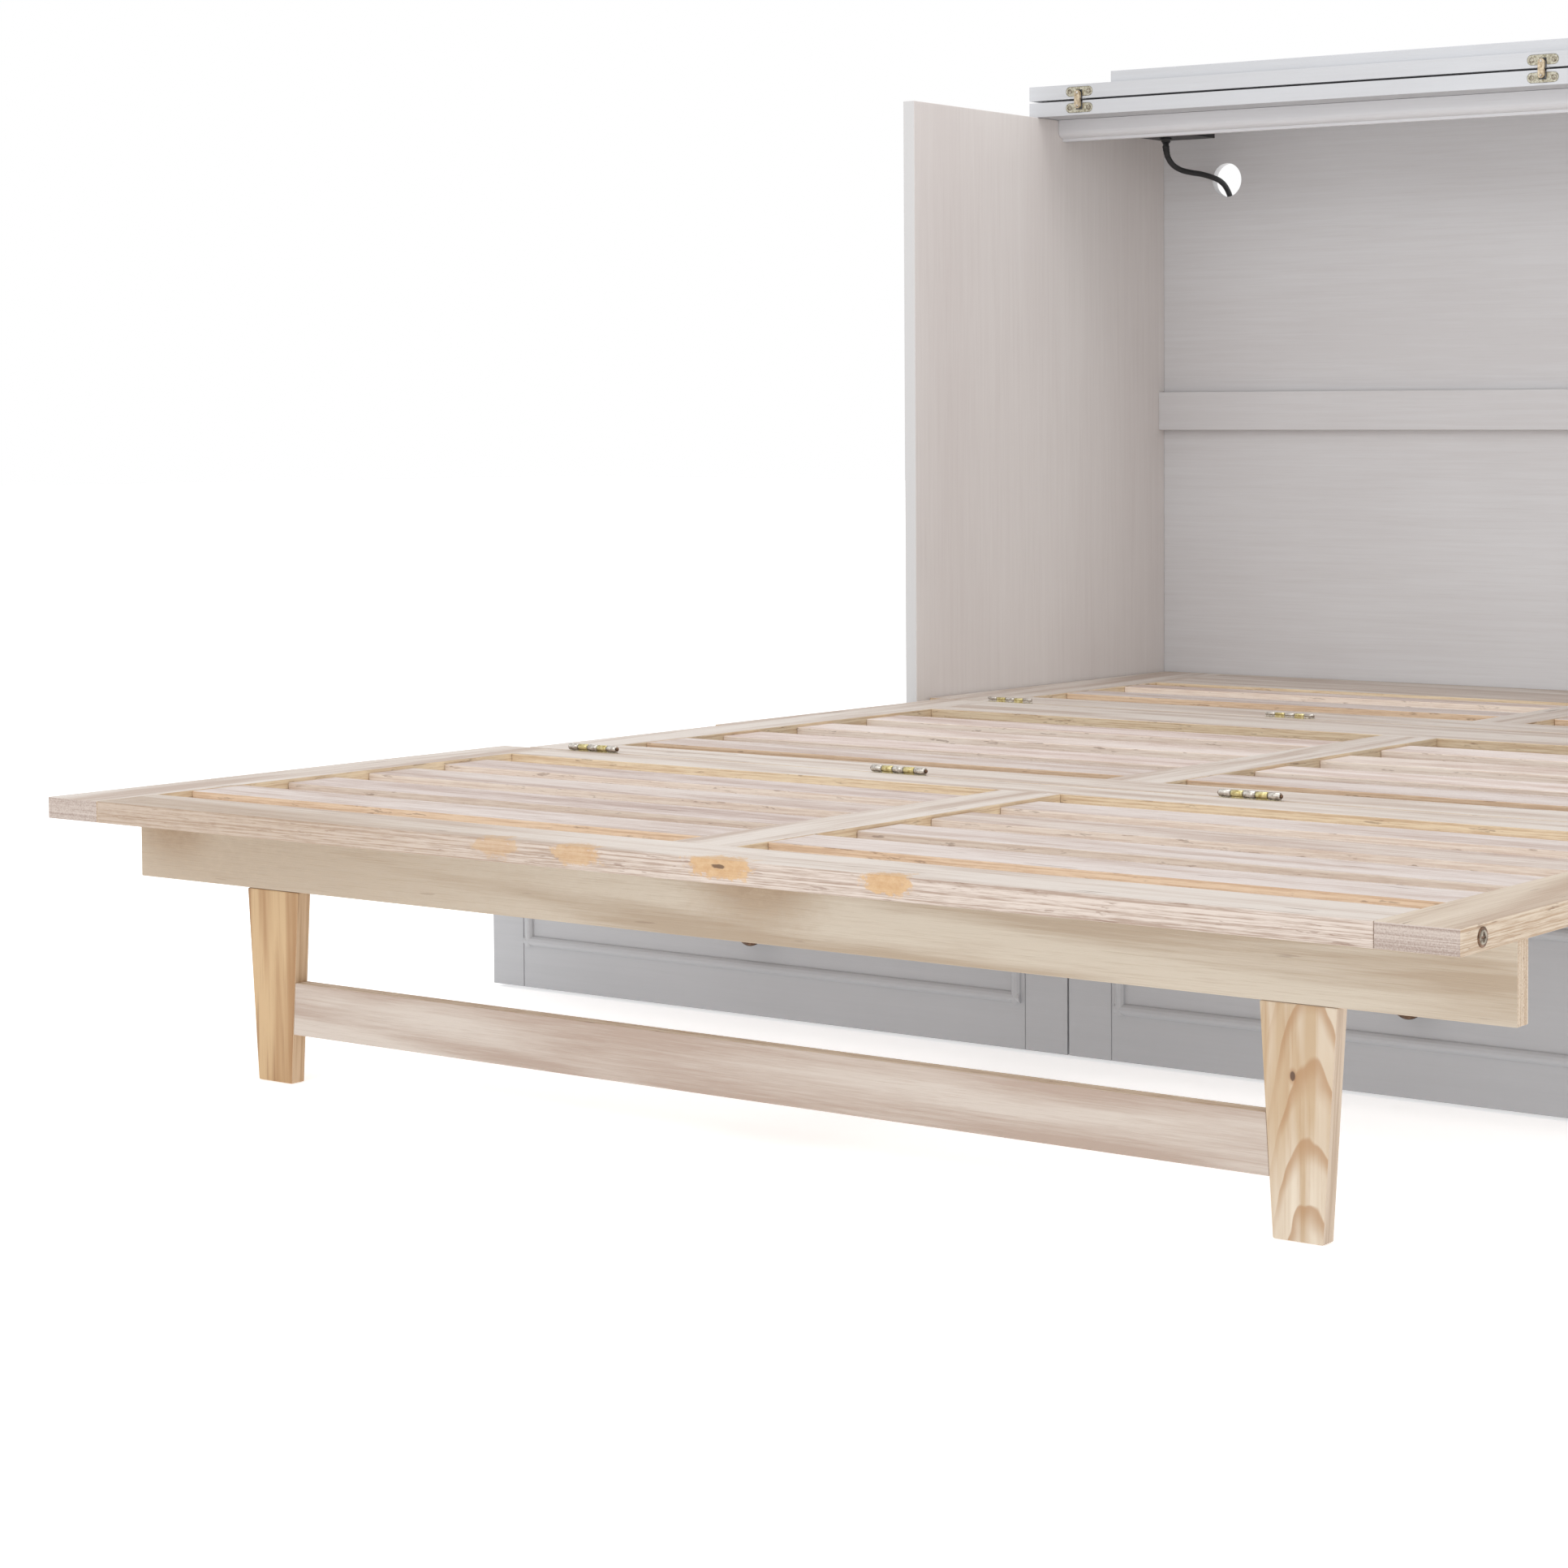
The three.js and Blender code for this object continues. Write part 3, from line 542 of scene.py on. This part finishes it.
def add_screw(bm, matrix, radius):
    """Cross-recessed screw head that looks along the local +Z, its face at the local origin."""
    part = bmesh.new()
    long, half = radius * 0.6, radius * 0.15
    quarter = [(half, half), (long, half), (long, -half)]
    cross = [Matrix.Rotation(-turn * math.pi / 2, 2) @ Vector(p) for turn in range(4) for p in quarter]
    face = loop(part, circle(radius * 0.8, 0, 20))
    rim = loop(part, circle(radius, -radius * 0.22, 20))
    foot = loop(part, circle(radius * 0.9, -radius * 0.6, 20))
    mouth = loop(part, [(p.x, p.y, 0) for p in cross])
    floor = loop(part, [(p.x * 0.7, p.y * 0.7, -radius * 0.45) for p in cross])
    edges = [ring_edge(part, ring, n) for ring in (face, mouth) for n in range(len(ring))]
    bmesh.ops.triangle_fill(part, use_beauty=True, use_dissolve=False, edges=edges)
    for upper, lower in ((face, rim), (rim, foot), (mouth, floor)):
        for n in range(len(upper)):
            m = (n + 1) % len(upper)
            part.faces.new([upper[n], upper[m], lower[m], lower[n]])
    part.faces.new(foot)
    part.faces.new(floor)
    bmesh.ops.transform(part, matrix=matrix, verts=part.verts)
    merge(bm, part)


def circle(radius, height, segments):
    """Points of a level circle around the local axis."""
    angles = [2 * math.pi * n / segments for n in range(segments)]
    return [(radius * math.cos(a), radius * math.sin(a), height) for a in angles]


def in_metres(profile):
    """A profile in millimetres as one in metres."""
    return [(radius * MM, height * MM) for radius, height in profile]


def loop(bm, points):
    return [bm.verts.new(p) for p in points]


def ring_edge(bm, ring, n):
    return bm.edges.new((ring[n], ring[(n + 1) % len(ring)]))


def merge(bm, part):
    """Adds a part's mesh to a bmesh and frees the part."""
    bmesh.ops.recalc_face_normals(part, faces=part.faces)
    mesh = bpy.data.meshes.new("part")
    part.to_mesh(mesh)
    part.free()
    bm.from_mesh(mesh)
    bpy.data.meshes.remove(mesh)


def toward(direction, place):
    """Matrix that stands a part's local +Z along a direction, at a place."""
    turn = Vector(direction).to_track_quat("Z", "Y").to_matrix().to_4x4()
    return Matrix.Translation(Vector(place)) @ turn


# ---- Power cord -------------------------------------------------------------------------------

CORD_RADIUS = 0.0041
CORD_ROUTE = [
    (-0.7240, 0.8910, 1.0612), (-0.7239, 0.8913, 1.0525), (-0.7226, 0.8944, 1.0400),
    (-0.7193, 0.9030, 1.0293), (-0.7140, 0.9165, 1.0228), (-0.7075, 0.9330, 1.0200),
    (-0.7010, 0.9505, 1.0185), (-0.6957, 0.9680, 1.0155), (-0.6925, 0.9850, 1.0115),
    (-0.6910, 0.9995, 1.0040), (-0.6903, 1.0110, 0.9910), (-0.6900, 1.0190, 0.9710),
    (-0.6900, 1.0226, 0.9400), (-0.6900, 1.0235, 0.8800), (-0.6900, 1.0240, 0.7000),
    (-0.6900, 1.0240, 0.5000), (-0.6900, 1.0240, 0.3000), (-0.6900, 1.0240, 0.1500),
    (-0.6900, 1.0245, 0.0950), (-0.6890, 1.0260, 0.0600), (-0.6850, 1.0290, 0.0350),
    (-0.6765, 1.0317, 0.0175), (-0.6635, 1.0339, 0.0078), (-0.6475, 1.0354, 0.0047),
    (-0.6315, 1.0361, 0.0043),
]


def smooth_path(points, steps=8):
    """Catmull-Rom curve through the points."""
    points = [Vector(p) for p in points]
    ends = [2 * points[0] - points[1], *points, 2 * points[-1] - points[-2]]
    path = []
    for a, b, c, d in zip(ends, ends[1:], ends[2:], ends[3:]):
        for n in range(steps):
            t = n / steps
            square = (2 * a - 5 * b + 4 * c - d) * t**2
            cube = (3 * b - a - 3 * c + d) * t**3
            path.append(0.5 * (2 * b + (c - a) * t + square + cube))
    return [*path, points[-1]]


def ease(value, low, high):
    """0 below low, 1 above high, and a smooth rise between them."""
    t = min(1.0, max(0.0, (value - low) / (high - low)))
    return t * t * (3 - 2 * t)


def coil_path():
    """Two turns on the floor, the second inside the first, then part of a third on top of them."""
    low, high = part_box("cord_coil")
    centre = (low + high) / 2
    outer, inner, top = 0.0490, 0.0406, 0.0450
    floor, raised = 0.0043, 0.0127
    path = []
    for degrees in range(-90, 811, 6):
        radius = outer + (inner - outer) * ease(degrees, 180, 270) + (top - inner) * ease(degrees, 470, 540)
        height = floor + (raised - floor) * ease(degrees, 400, 480)
        angle = math.radians(degrees)
        spoke = Vector((radius * math.cos(angle), radius * math.sin(angle), 0))
        path.append(Vector((centre.x, centre.y, height)) + spoke)
    last = path[-1]
    run_out = [(-0.014, 0, 0), (-0.028, 0, -0.0002), (-0.037, 0, -0.0012), (-0.048, 0, -0.0024)]
    return [*path, *(last + Vector(step) for step in run_out)]


def make_cord():
    path = smooth_path([*CORD_ROUTE, coil_path()[0]])[:-1] + coil_path()
    curve = bpy.data.curves.new("power_lead", "CURVE")
    curve.dimensions = "3D"
    curve.bevel_depth = CORD_RADIUS
    curve.bevel_resolution = 5
    curve.use_fill_caps = True
    spline = curve.splines.new("POLY")
    spline.points.add(len(path) - 1)
    for point, place in zip(spline.points, path):
        point.co = (*place, 1)
    spline.use_smooth = True
    lead = bpy.data.objects.new("power_lead", curve)
    curve.materials.append(cord_jacket)
    bpy.context.scene.collection.objects.link(lead)
    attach(lead, "cabinet")
    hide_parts("power_cord", "cord_coil")
    pieces = [make_gland(path), *make_plug(path[-1])]


def add_sleeve(bm, path, profile, segments=24):
    """A round sleeve around a path: profile is (radius, distance along the path)."""
    part = bmesh.new()
    rings = []
    for radius, distance in profile:
        place, ahead = walk(path, distance)
        turn = ahead.to_track_quat("Z", "Y").to_matrix()
        angles = [2 * math.pi * n / segments for n in range(segments)]
        spokes = [Vector((math.cos(a), math.sin(a), 0)) * radius for a in angles]
        rings.append([part.verts.new(place + turn @ spoke) for spoke in spokes])
    bridge(part, rings)
    merge(bm, part)


def bridge(part, rings):
    """Joins rings of points into a tube with closed ends."""
    for lower, upper in zip(rings, rings[1:]):
        for n in range(len(lower)):
            m = (n + 1) % len(lower)
            part.faces.new([lower[n], lower[m], upper[m], upper[n]])
    part.faces.new(rings[0])
    part.faces.new(rings[-1])


def walk(path, distance):
    """The point at a distance along a path, and the direction there."""
    for a, b in zip(path, path[1:]):
        step = (b - a).length
        if distance <= step:
            return a.lerp(b, distance / step), (b - a).normalized()
        distance -= step
    return path[-1], (path[-1] - path[-2]).normalized()


def make_gland(path):
    """Flanged gland under the power module, and a ribbed, tapered strain relief that follows the cord."""
    low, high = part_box("cord_gland")
    centre = (low + high) / 2
    profile = [(0, 0), (8.5, 0), (8.5, 2.0), (7.9, 2.6), (7.0, 2.8), (6.6, 5.4), (5.9, 6.2), (0, 6.2)]
    bm = bmesh.new()
    add_turned(bm, in_metres(profile), toward((0, 0, -1), (centre.x, centre.y, high.z)), 28)
    sleeve = [(5.6, 0)]
    for n in range(4):
        start, size = 1.0 + 4.2 * n, 5.5 - 0.28 * n
        sleeve += [(size, start), (size, start + 2.4), (size - 0.4, start + 2.8), (size - 0.4, start + 3.9)]
    sleeve += [(4.45, 19.0), (4.2, 21.0)]
    add_sleeve(bm, path, in_metres(sleeve))
    gland = finish_mesh("strain_relief", bm, black_plastic, "cabinet", True)
    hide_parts("cord_gland")
    return gland


PLUG_SECTIONS = [
    (11, 6.0, 5.4), (15, 9.4, 7.6), (20, 11.2, 8.6), (25, 10.4, 8.0),
    (31, 10.6, 8.2), (38, 11.6, 8.7), (41, 11.4, 8.5),
]  # distance from the cord, half width and half height of the grip, in millimetres


def add_plug_relief(bm, axis):
    """Ribbed relief between the cord and the grip."""
    profile = [(0, 0), (4.4, 0)]
    for n in range(4):
        start = 0.8 + 3.0 * n
        profile += [(4.9 + 0.2 * n, start), (5.0 + 0.2 * n, start + 1.6), (4.5 + 0.2 * n, start + 2.2)]
    profile += [(5.6, 13.4), (0, 14.5)]
    add_turned(bm, in_metres(profile), toward((-1, 0, 0), axis), 20)


def add_plug_grip(bm, axis, segments=32):
    """Rounded grip that narrows to a waist."""
    part = bmesh.new()
    rings = []
    for reach, half_y, half_z in PLUG_SECTIONS:
        ring = []
        for n in range(segments):
            angle = 2 * math.pi * n / segments
            c, s = math.cos(angle), math.sin(angle)
            y = half_y * math.copysign(abs(c) ** 0.5, c)
            z = half_z * math.copysign(abs(s) ** 0.5, s)
            ring.append(part.verts.new(axis + Vector((-reach, y, z)) * MM))
        rings.append(ring)
    bridge(part, rings)
    merge(bm, part)


def add_plug_contacts(bm, face, axis):
    """Two flat blades and a round earth pin, out of the plug's face."""
    for side in (-1, 1):
        y = axis.y + side * 0.00635
        low = (face - 0.0165, y - 0.0008, axis.z - 0.0032)
        add_board(bm, low, (face, y + 0.0008, axis.z + 0.0032), 0.0004)
    pin = [(0, 0), (2.3, 0), (2.3, 16.5), (1.9, 18.4), (1.0, 19.4), (0, 19.6)]
    add_turned(bm, in_metres(pin), toward((-1, 0, 0), (face, axis.y, axis.z + 0.0055)), 20)


def make_plug(end):
    """Moulded plug at the cord's end, in line with its last stretch."""
    low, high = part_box("cord_plug")
    axis = Vector((end.x, (low.y + high.y) / 2, end.z))
    bm = bmesh.new()
    add_plug_relief(bm, axis)
    add_plug_grip(bm, axis)
    body = finish_mesh("plug_body", bm, black_plastic, "cabinet", True)
    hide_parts("cord_plug")
    bm = bmesh.new()
    add_plug_contacts(bm, axis.x - 0.0405, axis)
    blades = finish_mesh("plug_blades", bm, nickel, "cabinet")
    return [body, blades]


make_cord()


# ---- Slats ------------------------------------------------------------------------------------


def slat_material(name, n, edge, light_lift=1.0):
    """Slat wood number n; a factor above 1 makes it paler, as painted light."""
    face = [paler(tone, light_lift) for tone in SLAT_FACES[n % len(SLAT_FACES)]]
    edge = [paler(tone, light_lift) for tone in edge]
    return wood(f"{name}_{n}", X, Z, face, edge, 30 + n, 0.65, 0.3, 0.6, 1.5)


def paler(tone, light_lift):
    return tuple(min(1.0, part * light_lift) for part in tone[:3]) + (1.0,)


# Painted light: the middle and head slats are paler copies of the foot's, making up for less light reaching
# them further back.
PAINTED_LIGHT_LIFT = 1.18
slat_woods = {
    "foot": [slat_material("slat_wood", n, LIT_SLAT_EDGE) for n in range(4)],
    "middle": [slat_material("painted_light_slat_wood", n, LIT_SLAT_EDGE, PAINTED_LIGHT_LIFT) for n in range(4)],
    "head": [slat_material("painted_light_head_slat_wood", n, LIT_SLAT_EDGE, PAINTED_LIGHT_LIFT) for n in range(2)],
}
# Each section's first slat, its front edge golden with painted bounce light.
lit_golden_slat = slat_material("lit_golden_slat_wood", 1, LIT_GOLDEN_EDGE)
spine_wood = wood("spine_wood", Y, Z, PLY_FACE, PLY_EDGE, 29)


def make_slats():
    """The CAD joins each section's slats to its centre rail. Here each slat half is a board of its own."""
    gap = 0.0003
    count = 0
    for section, body in (("foot", "foot_section"), ("middle", "middle_section"), ("head", "cabinet")):
        ladder = nodes[f"{section}_slats"]
        low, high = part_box(ladder.name)
        tips = [v.co for v in ladder.data.vertices if high.x - v.co.x < 0.0001]
        edges = sorted({round(p.y, 4) for p in tips})
        under = [v.co.x for v in ladder.data.vertices if v.co.z - low.z < 0.0001]
        left, right = min(under), max(under)
        bm = bmesh.new()
        add_board(bm, (left, low.y, low.z), (right, high.y, high.z), 0.001)
        spine = finish_mesh(f"{section}_centre_rail", bm, spine_wood, body)
        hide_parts(ladder.name)
        for number, (front, rear) in enumerate(zip(edges[::2], edges[1::2]), 1):
            heights = [p.z for p in tips if abs(p.y - front) < 0.0002]
            for side, spans in (("left", (low.x, left - gap)), ("right", (right + gap, high.x))):
                bm = bmesh.new()
                add_board(bm, (spans[0], front, min(heights)), (spans[1], rear, max(heights)), 0.0012)
                woods = slat_woods[section]
                # The first slat takes the edge warmed with painted light.
                wood_used = lit_golden_slat if number == 1 else woods[(count * 3) % len(woods)]
                finish_mesh(f"{section}_slat_{number}_{side}", bm, wood_used, body)
                count += 1


# ---- Hardware ---------------------------------------------------------------------------------


def make_fold_hinge_leaf(name, body, x, fold, side, own, radius):
    """One half of a butt hinge: an upright leaf let in between the sections, and that section's own knuckles.
    The first fold's stand proud of the platform, the second's are slimmer."""
    length, pitch = 0.072, 0.0144
    near, far = sorted((fold + side * 0.0002, fold + side * 0.0013))
    top = FOLD_AXIS_Z - 0.0043
    bm = bmesh.new()
    add_board(bm, (x - length / 2, near, top - 0.018), (x + length / 2, far, top), 0.0003)
    for n in own:
        left = x - length / 2 + n * pitch + 0.0003
        size = pitch - 0.0006
        add_board(bm, (left, near, top - 0.001), (left + size, far, FOLD_AXIS_Z), 0.0002)
        rim = radius - 0.0006
        profile = [(0, 0), (rim, 0), (radius, 0.0006), (radius, size - 0.0006), (rim, size), (0, size)]
        add_turned(bm, profile, toward((1, 0, 0), (left, fold, FOLD_AXIS_Z)), 24)
    leaf = finish_mesh(name, bm, zinc if side > 0 else brass, body)
    for polygon in leaf.data.polygons:
        polygon.use_smooth = abs(polygon.normal.x) < 0.2 and polygon.area < 2e-5
    return leaf


def make_hinge_pin(name, body, x, fold):
    """The pin's upset ends, just past the knuckles."""
    bm = bmesh.new()
    for side in (-1, 1):
        at = (x + side * 0.036, fold, FOLD_AXIS_Z)
        profile = [(0, 0), (1.9, 0), (2.1, 0.5), (1.6, 1.3), (0, 1.6)]
        add_turned(bm, in_metres(profile), toward((side, 0, 0), at), 16)
    finish_mesh(name, bm, bronze, body, True)


FIRST_RADIUS = 0.0036  # of the first fold's knuckles
SECOND_RADIUS = 0.0018
FRONT_KNUCKLES = (1, 3)  # the front leaf's, out of a hinge's five
REAR_KNUCKLES = (0, 2, 4)


def make_fold_hinges():
    """Four butt hinges on each fold. The CAD has the first fold's."""
    front, rear = (-1, FRONT_KNUCKLES), (1, REAR_KNUCKLES)
    for n, x in enumerate(HINGE_X, 1):
        at = (x, FOLD_1)
        foot = make_fold_hinge_leaf(f"fold_1_leaf_{n}_foot", "foot_section", *at, *front, FIRST_RADIUS)
        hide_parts(f"fold_hinge_foot_{n}")
        middle = make_fold_hinge_leaf(f"fold_1_leaf_{n}_middle", "middle_section", *at, *rear, FIRST_RADIUS)
        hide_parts(f"fold_hinge_middle_{n}")
        make_hinge_pin(f"fold_1_pin_{n}", "middle_section", x, FOLD_1)
        at = (x, FOLD_2)
        make_fold_hinge_leaf(f"fold_2_leaf_{n}_middle", "middle_section", *at, *front, SECOND_RADIUS)
        make_fold_hinge_leaf(f"fold_2_leaf_{n}_head", "cabinet", *at, *rear, SECOND_RADIUS)


def make_lid_screws():
    """Two screws in each dog-bone plate and a rivet in each eye of the links."""
    for leaf, body in (("rear", "cabinet"), ("front", "lid_front")):
        bm = bmesh.new()
        for place in ("left", "middle", "right"):
            low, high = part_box(f"lid_hinge_plate_{leaf}_{place}")
            for dx in (-0.016, 0.016):
                at = ((low.x + high.x) / 2 + dx, low.y - 0.0002, (low.z + high.z) / 2)
                add_screw(bm, toward((0, -1, 0), at), 0.0046)
        finish_mesh(f"lid_plate_screws_{leaf}", bm, screw_dark, body)
    bm = bmesh.new()
    for place in ("left", "middle", "right"):
        low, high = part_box(f"lid_hinge_link_{place}")
        for z in (low.z + 0.0035, high.z - 0.0035):
            profile = [(0, 0), (1.9, 0), (1.9, 0.4), (1.3, 0.8), (0, 0.9)]
            at = ((low.x + high.x) / 2, low.y, z)
            add_turned(bm, in_metres(profile), toward((0, -1, 0), at), 20)
    finish_mesh("lid_link_rivets", bm, nickel, "lid_links", True)


KNOB_PROFILE = [
    (0, 0), (10, 0), (10.2, 0.8), (9.6, 2.0), (7.4, 3.2), (6.3, 5.5), (6.0, 8.5), (6.8, 11.5), (9.5, 13.8),
    (13.5, 15.2), (17.2, 16.6), (18.8, 18.4), (18.9, 20.4), (17.6, 22.4), (15.4, 23.6), (14.6, 24.6),
    (13.4, 25.2), (9, 26.6), (4, 27.2), (0, 27.3),
]  # radius and height, in millimetres


def make_knobs():
    """Turned bronze knobs: rose, waist and a flat-topped mushroom head with a ring around it."""
    for side in ("left", "right"):
        low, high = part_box(f"drawer_knob_{side}")
        at = ((low.x + high.x) / 2, high.y, (low.z + high.z) / 2)
        bm = bmesh.new()
        add_turned(bm, in_metres(KNOB_PROFILE), toward((0, -1, 0), at), 48)
        knob = finish_mesh(f"knob_{side}", bm, bronze, "drawer", True)
        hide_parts(f"drawer_knob_{side}")


def make_rail_bolts():
    """Cross-head bolt caps in the outer edges of the foot section's side rails, each in a dark ring of
    painted shade for its shadowed countersink.
    """
    for side, name in ((-1, "left"), (1, "right")):
        low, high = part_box(f"foot_rail_{name}")
        x = low.x if side < 0 else high.x
        at = (x + side * 0.0012, low.y + 0.034, (low.z + high.z) / 2)
        bm = bmesh.new()
        add_screw(bm, toward((side, 0, 0), at), 0.0066)
        finish_mesh(f"rail_bolt_{name}", bm, screw_dark, "foot_section")
        # A dark bronze ring behind the cap: painted shade where the countersink lies in shadow.
        bm = bmesh.new()
        shadow_ring = [(0, 0), (7.8, 0), (7.8, 0.5), (7.2, 0.7), (0, 0.7)]
        add_turned(bm, in_metres(shadow_ring), toward((side, 0, 0), (x, *at[1:])), 28)
        finish_mesh(f"rail_bolt_shadow_ring_{name}", bm, bronze, "foot_section", True)


def make_casters():
    """Four small casters under the drawer."""
    low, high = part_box("drawer_bottom")
    places = [(x, y) for x in (low.x + 0.07, high.x - 0.07) for y in (low.y + 0.08, high.y - 0.08)]
    for n, (x, y) in enumerate(places, 1):
        bm = bmesh.new()
        add_board(bm, (x - 0.021, y - 0.016, low.z - 0.0025), (x + 0.021, y + 0.016, low.z - 0.0003), 0.0006)
        for side in (-1, 1):
            cheek = x + side * 0.0115
            corner = (cheek + 0.0008, y + 0.008, low.z - 0.002)
            add_board(bm, (cheek - 0.0008, y - 0.008, 0.012), corner, 0.0005)
        finish_mesh(f"caster_fork_{n}", bm, nickel, "drawer")
        bm = bmesh.new()
        profile = [(0, -9), (14, -9), (16.4, -8), (17.2, -6), (17.2, 6), (16.4, 8), (14, 9), (0, 9)]
        add_turned(bm, in_metres(profile), toward((1, 0, 0), (x, y, 0.0175)), 36)
        finish_mesh(f"caster_wheel_{n}", bm, caster_rubber, "drawer")


def make_leg_hinges():
    """Butt hinges that join the leg frame's top blocks to the underside of the foot section."""
    joint = next(j for j in frame["joints"] if j["name"] == "leg_fold")
    axis_y, axis_z = joint["pos_m"][1], joint["pos_m"][2]
    half, radius = 0.027, 0.0025
    for name in ("left", "right"):
        low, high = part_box(f"leg_{name}")
        x = (low.x + high.x) / 2
        bm = bmesh.new()
        add_board(bm, (x - half, high.y, high.z - 0.040), (x + half, high.y + 0.0015, axis_z - 0.001), 0.0004)
        add_knuckle(bm, radius, half, (x - half, axis_y, axis_z))
        finish_mesh(f"leg_hinge_{name}_leg", bm, nickel, "leg_frame")
        bm = bmesh.new()
        corner = (x + half, axis_y + 0.030, axis_z + 0.0041)
        add_board(bm, (x - half, axis_y + 0.001, axis_z + 0.0026), corner, 0.0004)
        add_knuckle(bm, radius, half - 0.0005, (x + 0.0005, axis_y, axis_z))
        finish_mesh(f"leg_hinge_{name}_rail", bm, nickel, "foot_section")


def add_knuckle(bm, radius, length, start):
    """A plain knuckle along X."""
    add_turned(bm, [(0, 0), (radius, 0), (radius, length), (0, length)], toward((1, 0, 0), start), 20)


def make_module_screw():
    """Screw tip that shows below the lid beside the power module."""
    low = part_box("power_module")[0]
    bm = bmesh.new()
    profile = [(0, 0), (2.2, 0), (2.2, 5), (1.2, 6.5), (0, 7)]
    at = (low.x - 0.006, low.y - 0.010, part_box("lid_rear_leaf")[0].z)
    add_turned(bm, in_metres(profile), toward((0, 0, -1), at), 16)
    finish_mesh("module_screw", bm, nickel, "cabinet", True)


# ---- Floor and light --------------------------------------------------------------------------


def make_floor():
    bm = bmesh.new()
    bmesh.ops.create_grid(bm, x_segments=1, y_segments=1, size=30)
    mesh = bpy.data.meshes.new("floor")
    bm.to_mesh(mesh)
    bm.free()
    g = Graph("floor_pale", 0.85)
    cloud = g.noise(g.place((1, 1, 1)), 3, 2)
    g.colour(g.ramp(cloud, [(0.3, (0.93, 0.93, 0.93, 1)), (0.7, (0.95, 0.95, 0.95, 1))]))
    g.shader.inputs["Emission Color"].default_value = (1, 1, 1, 1)
    g.shader.inputs["Emission Strength"].default_value = 0.42
    mesh.materials.append(g.material)
    floor = bpy.data.objects.new("floor", mesh)
    floor.location.z = -0.0005
    bpy.context.scene.collection.objects.link(floor)


def make_light(name, place, target, size, power):
    data = bpy.data.lights.new(name, "AREA")
    data.shape = "RECTANGLE"
    data.size, data.size_y = size
    data.energy = power
    light = bpy.data.objects.new(name, data)
    light.location = place
    light.rotation_euler = (Vector(target) - Vector(place)).to_track_quat("-Z", "Y").to_euler()
    bpy.context.scene.collection.objects.link(light)


def make_studio():
    scene = bpy.context.scene
    scene.world = bpy.data.worlds.new("studio")
    scene.world.use_nodes = True
    background = scene.world.node_tree.nodes["Background"]
    background.inputs["Color"].default_value = (1, 1, 1, 1)
    background.inputs["Strength"].default_value = 1.0
    scene.view_settings.view_transform = "Standard"
    make_light("key", (-0.6, -4.2, 3.0), (0, -0.2, 0.3), (3.2, 2.0), 25)
    make_light("low_fill", (0.9, -4.6, 0.35), (0.1, -0.4, 0.15), (4.0, 0.6), 8)
    make_light("platform_top", (0.1, -0.1, 3.2), (0.1, 0.0, 0.2), (1.6, 1.4), 22)
    make_floor()


dress_nodes()
soften_nodes()
make_slats()
make_fold_hinges()
make_lid_screws()
make_knobs()
make_rail_bolts()
make_casters()
make_leg_hinges()
make_module_screw()
make_studio()

bpy.context.view_layer.update()
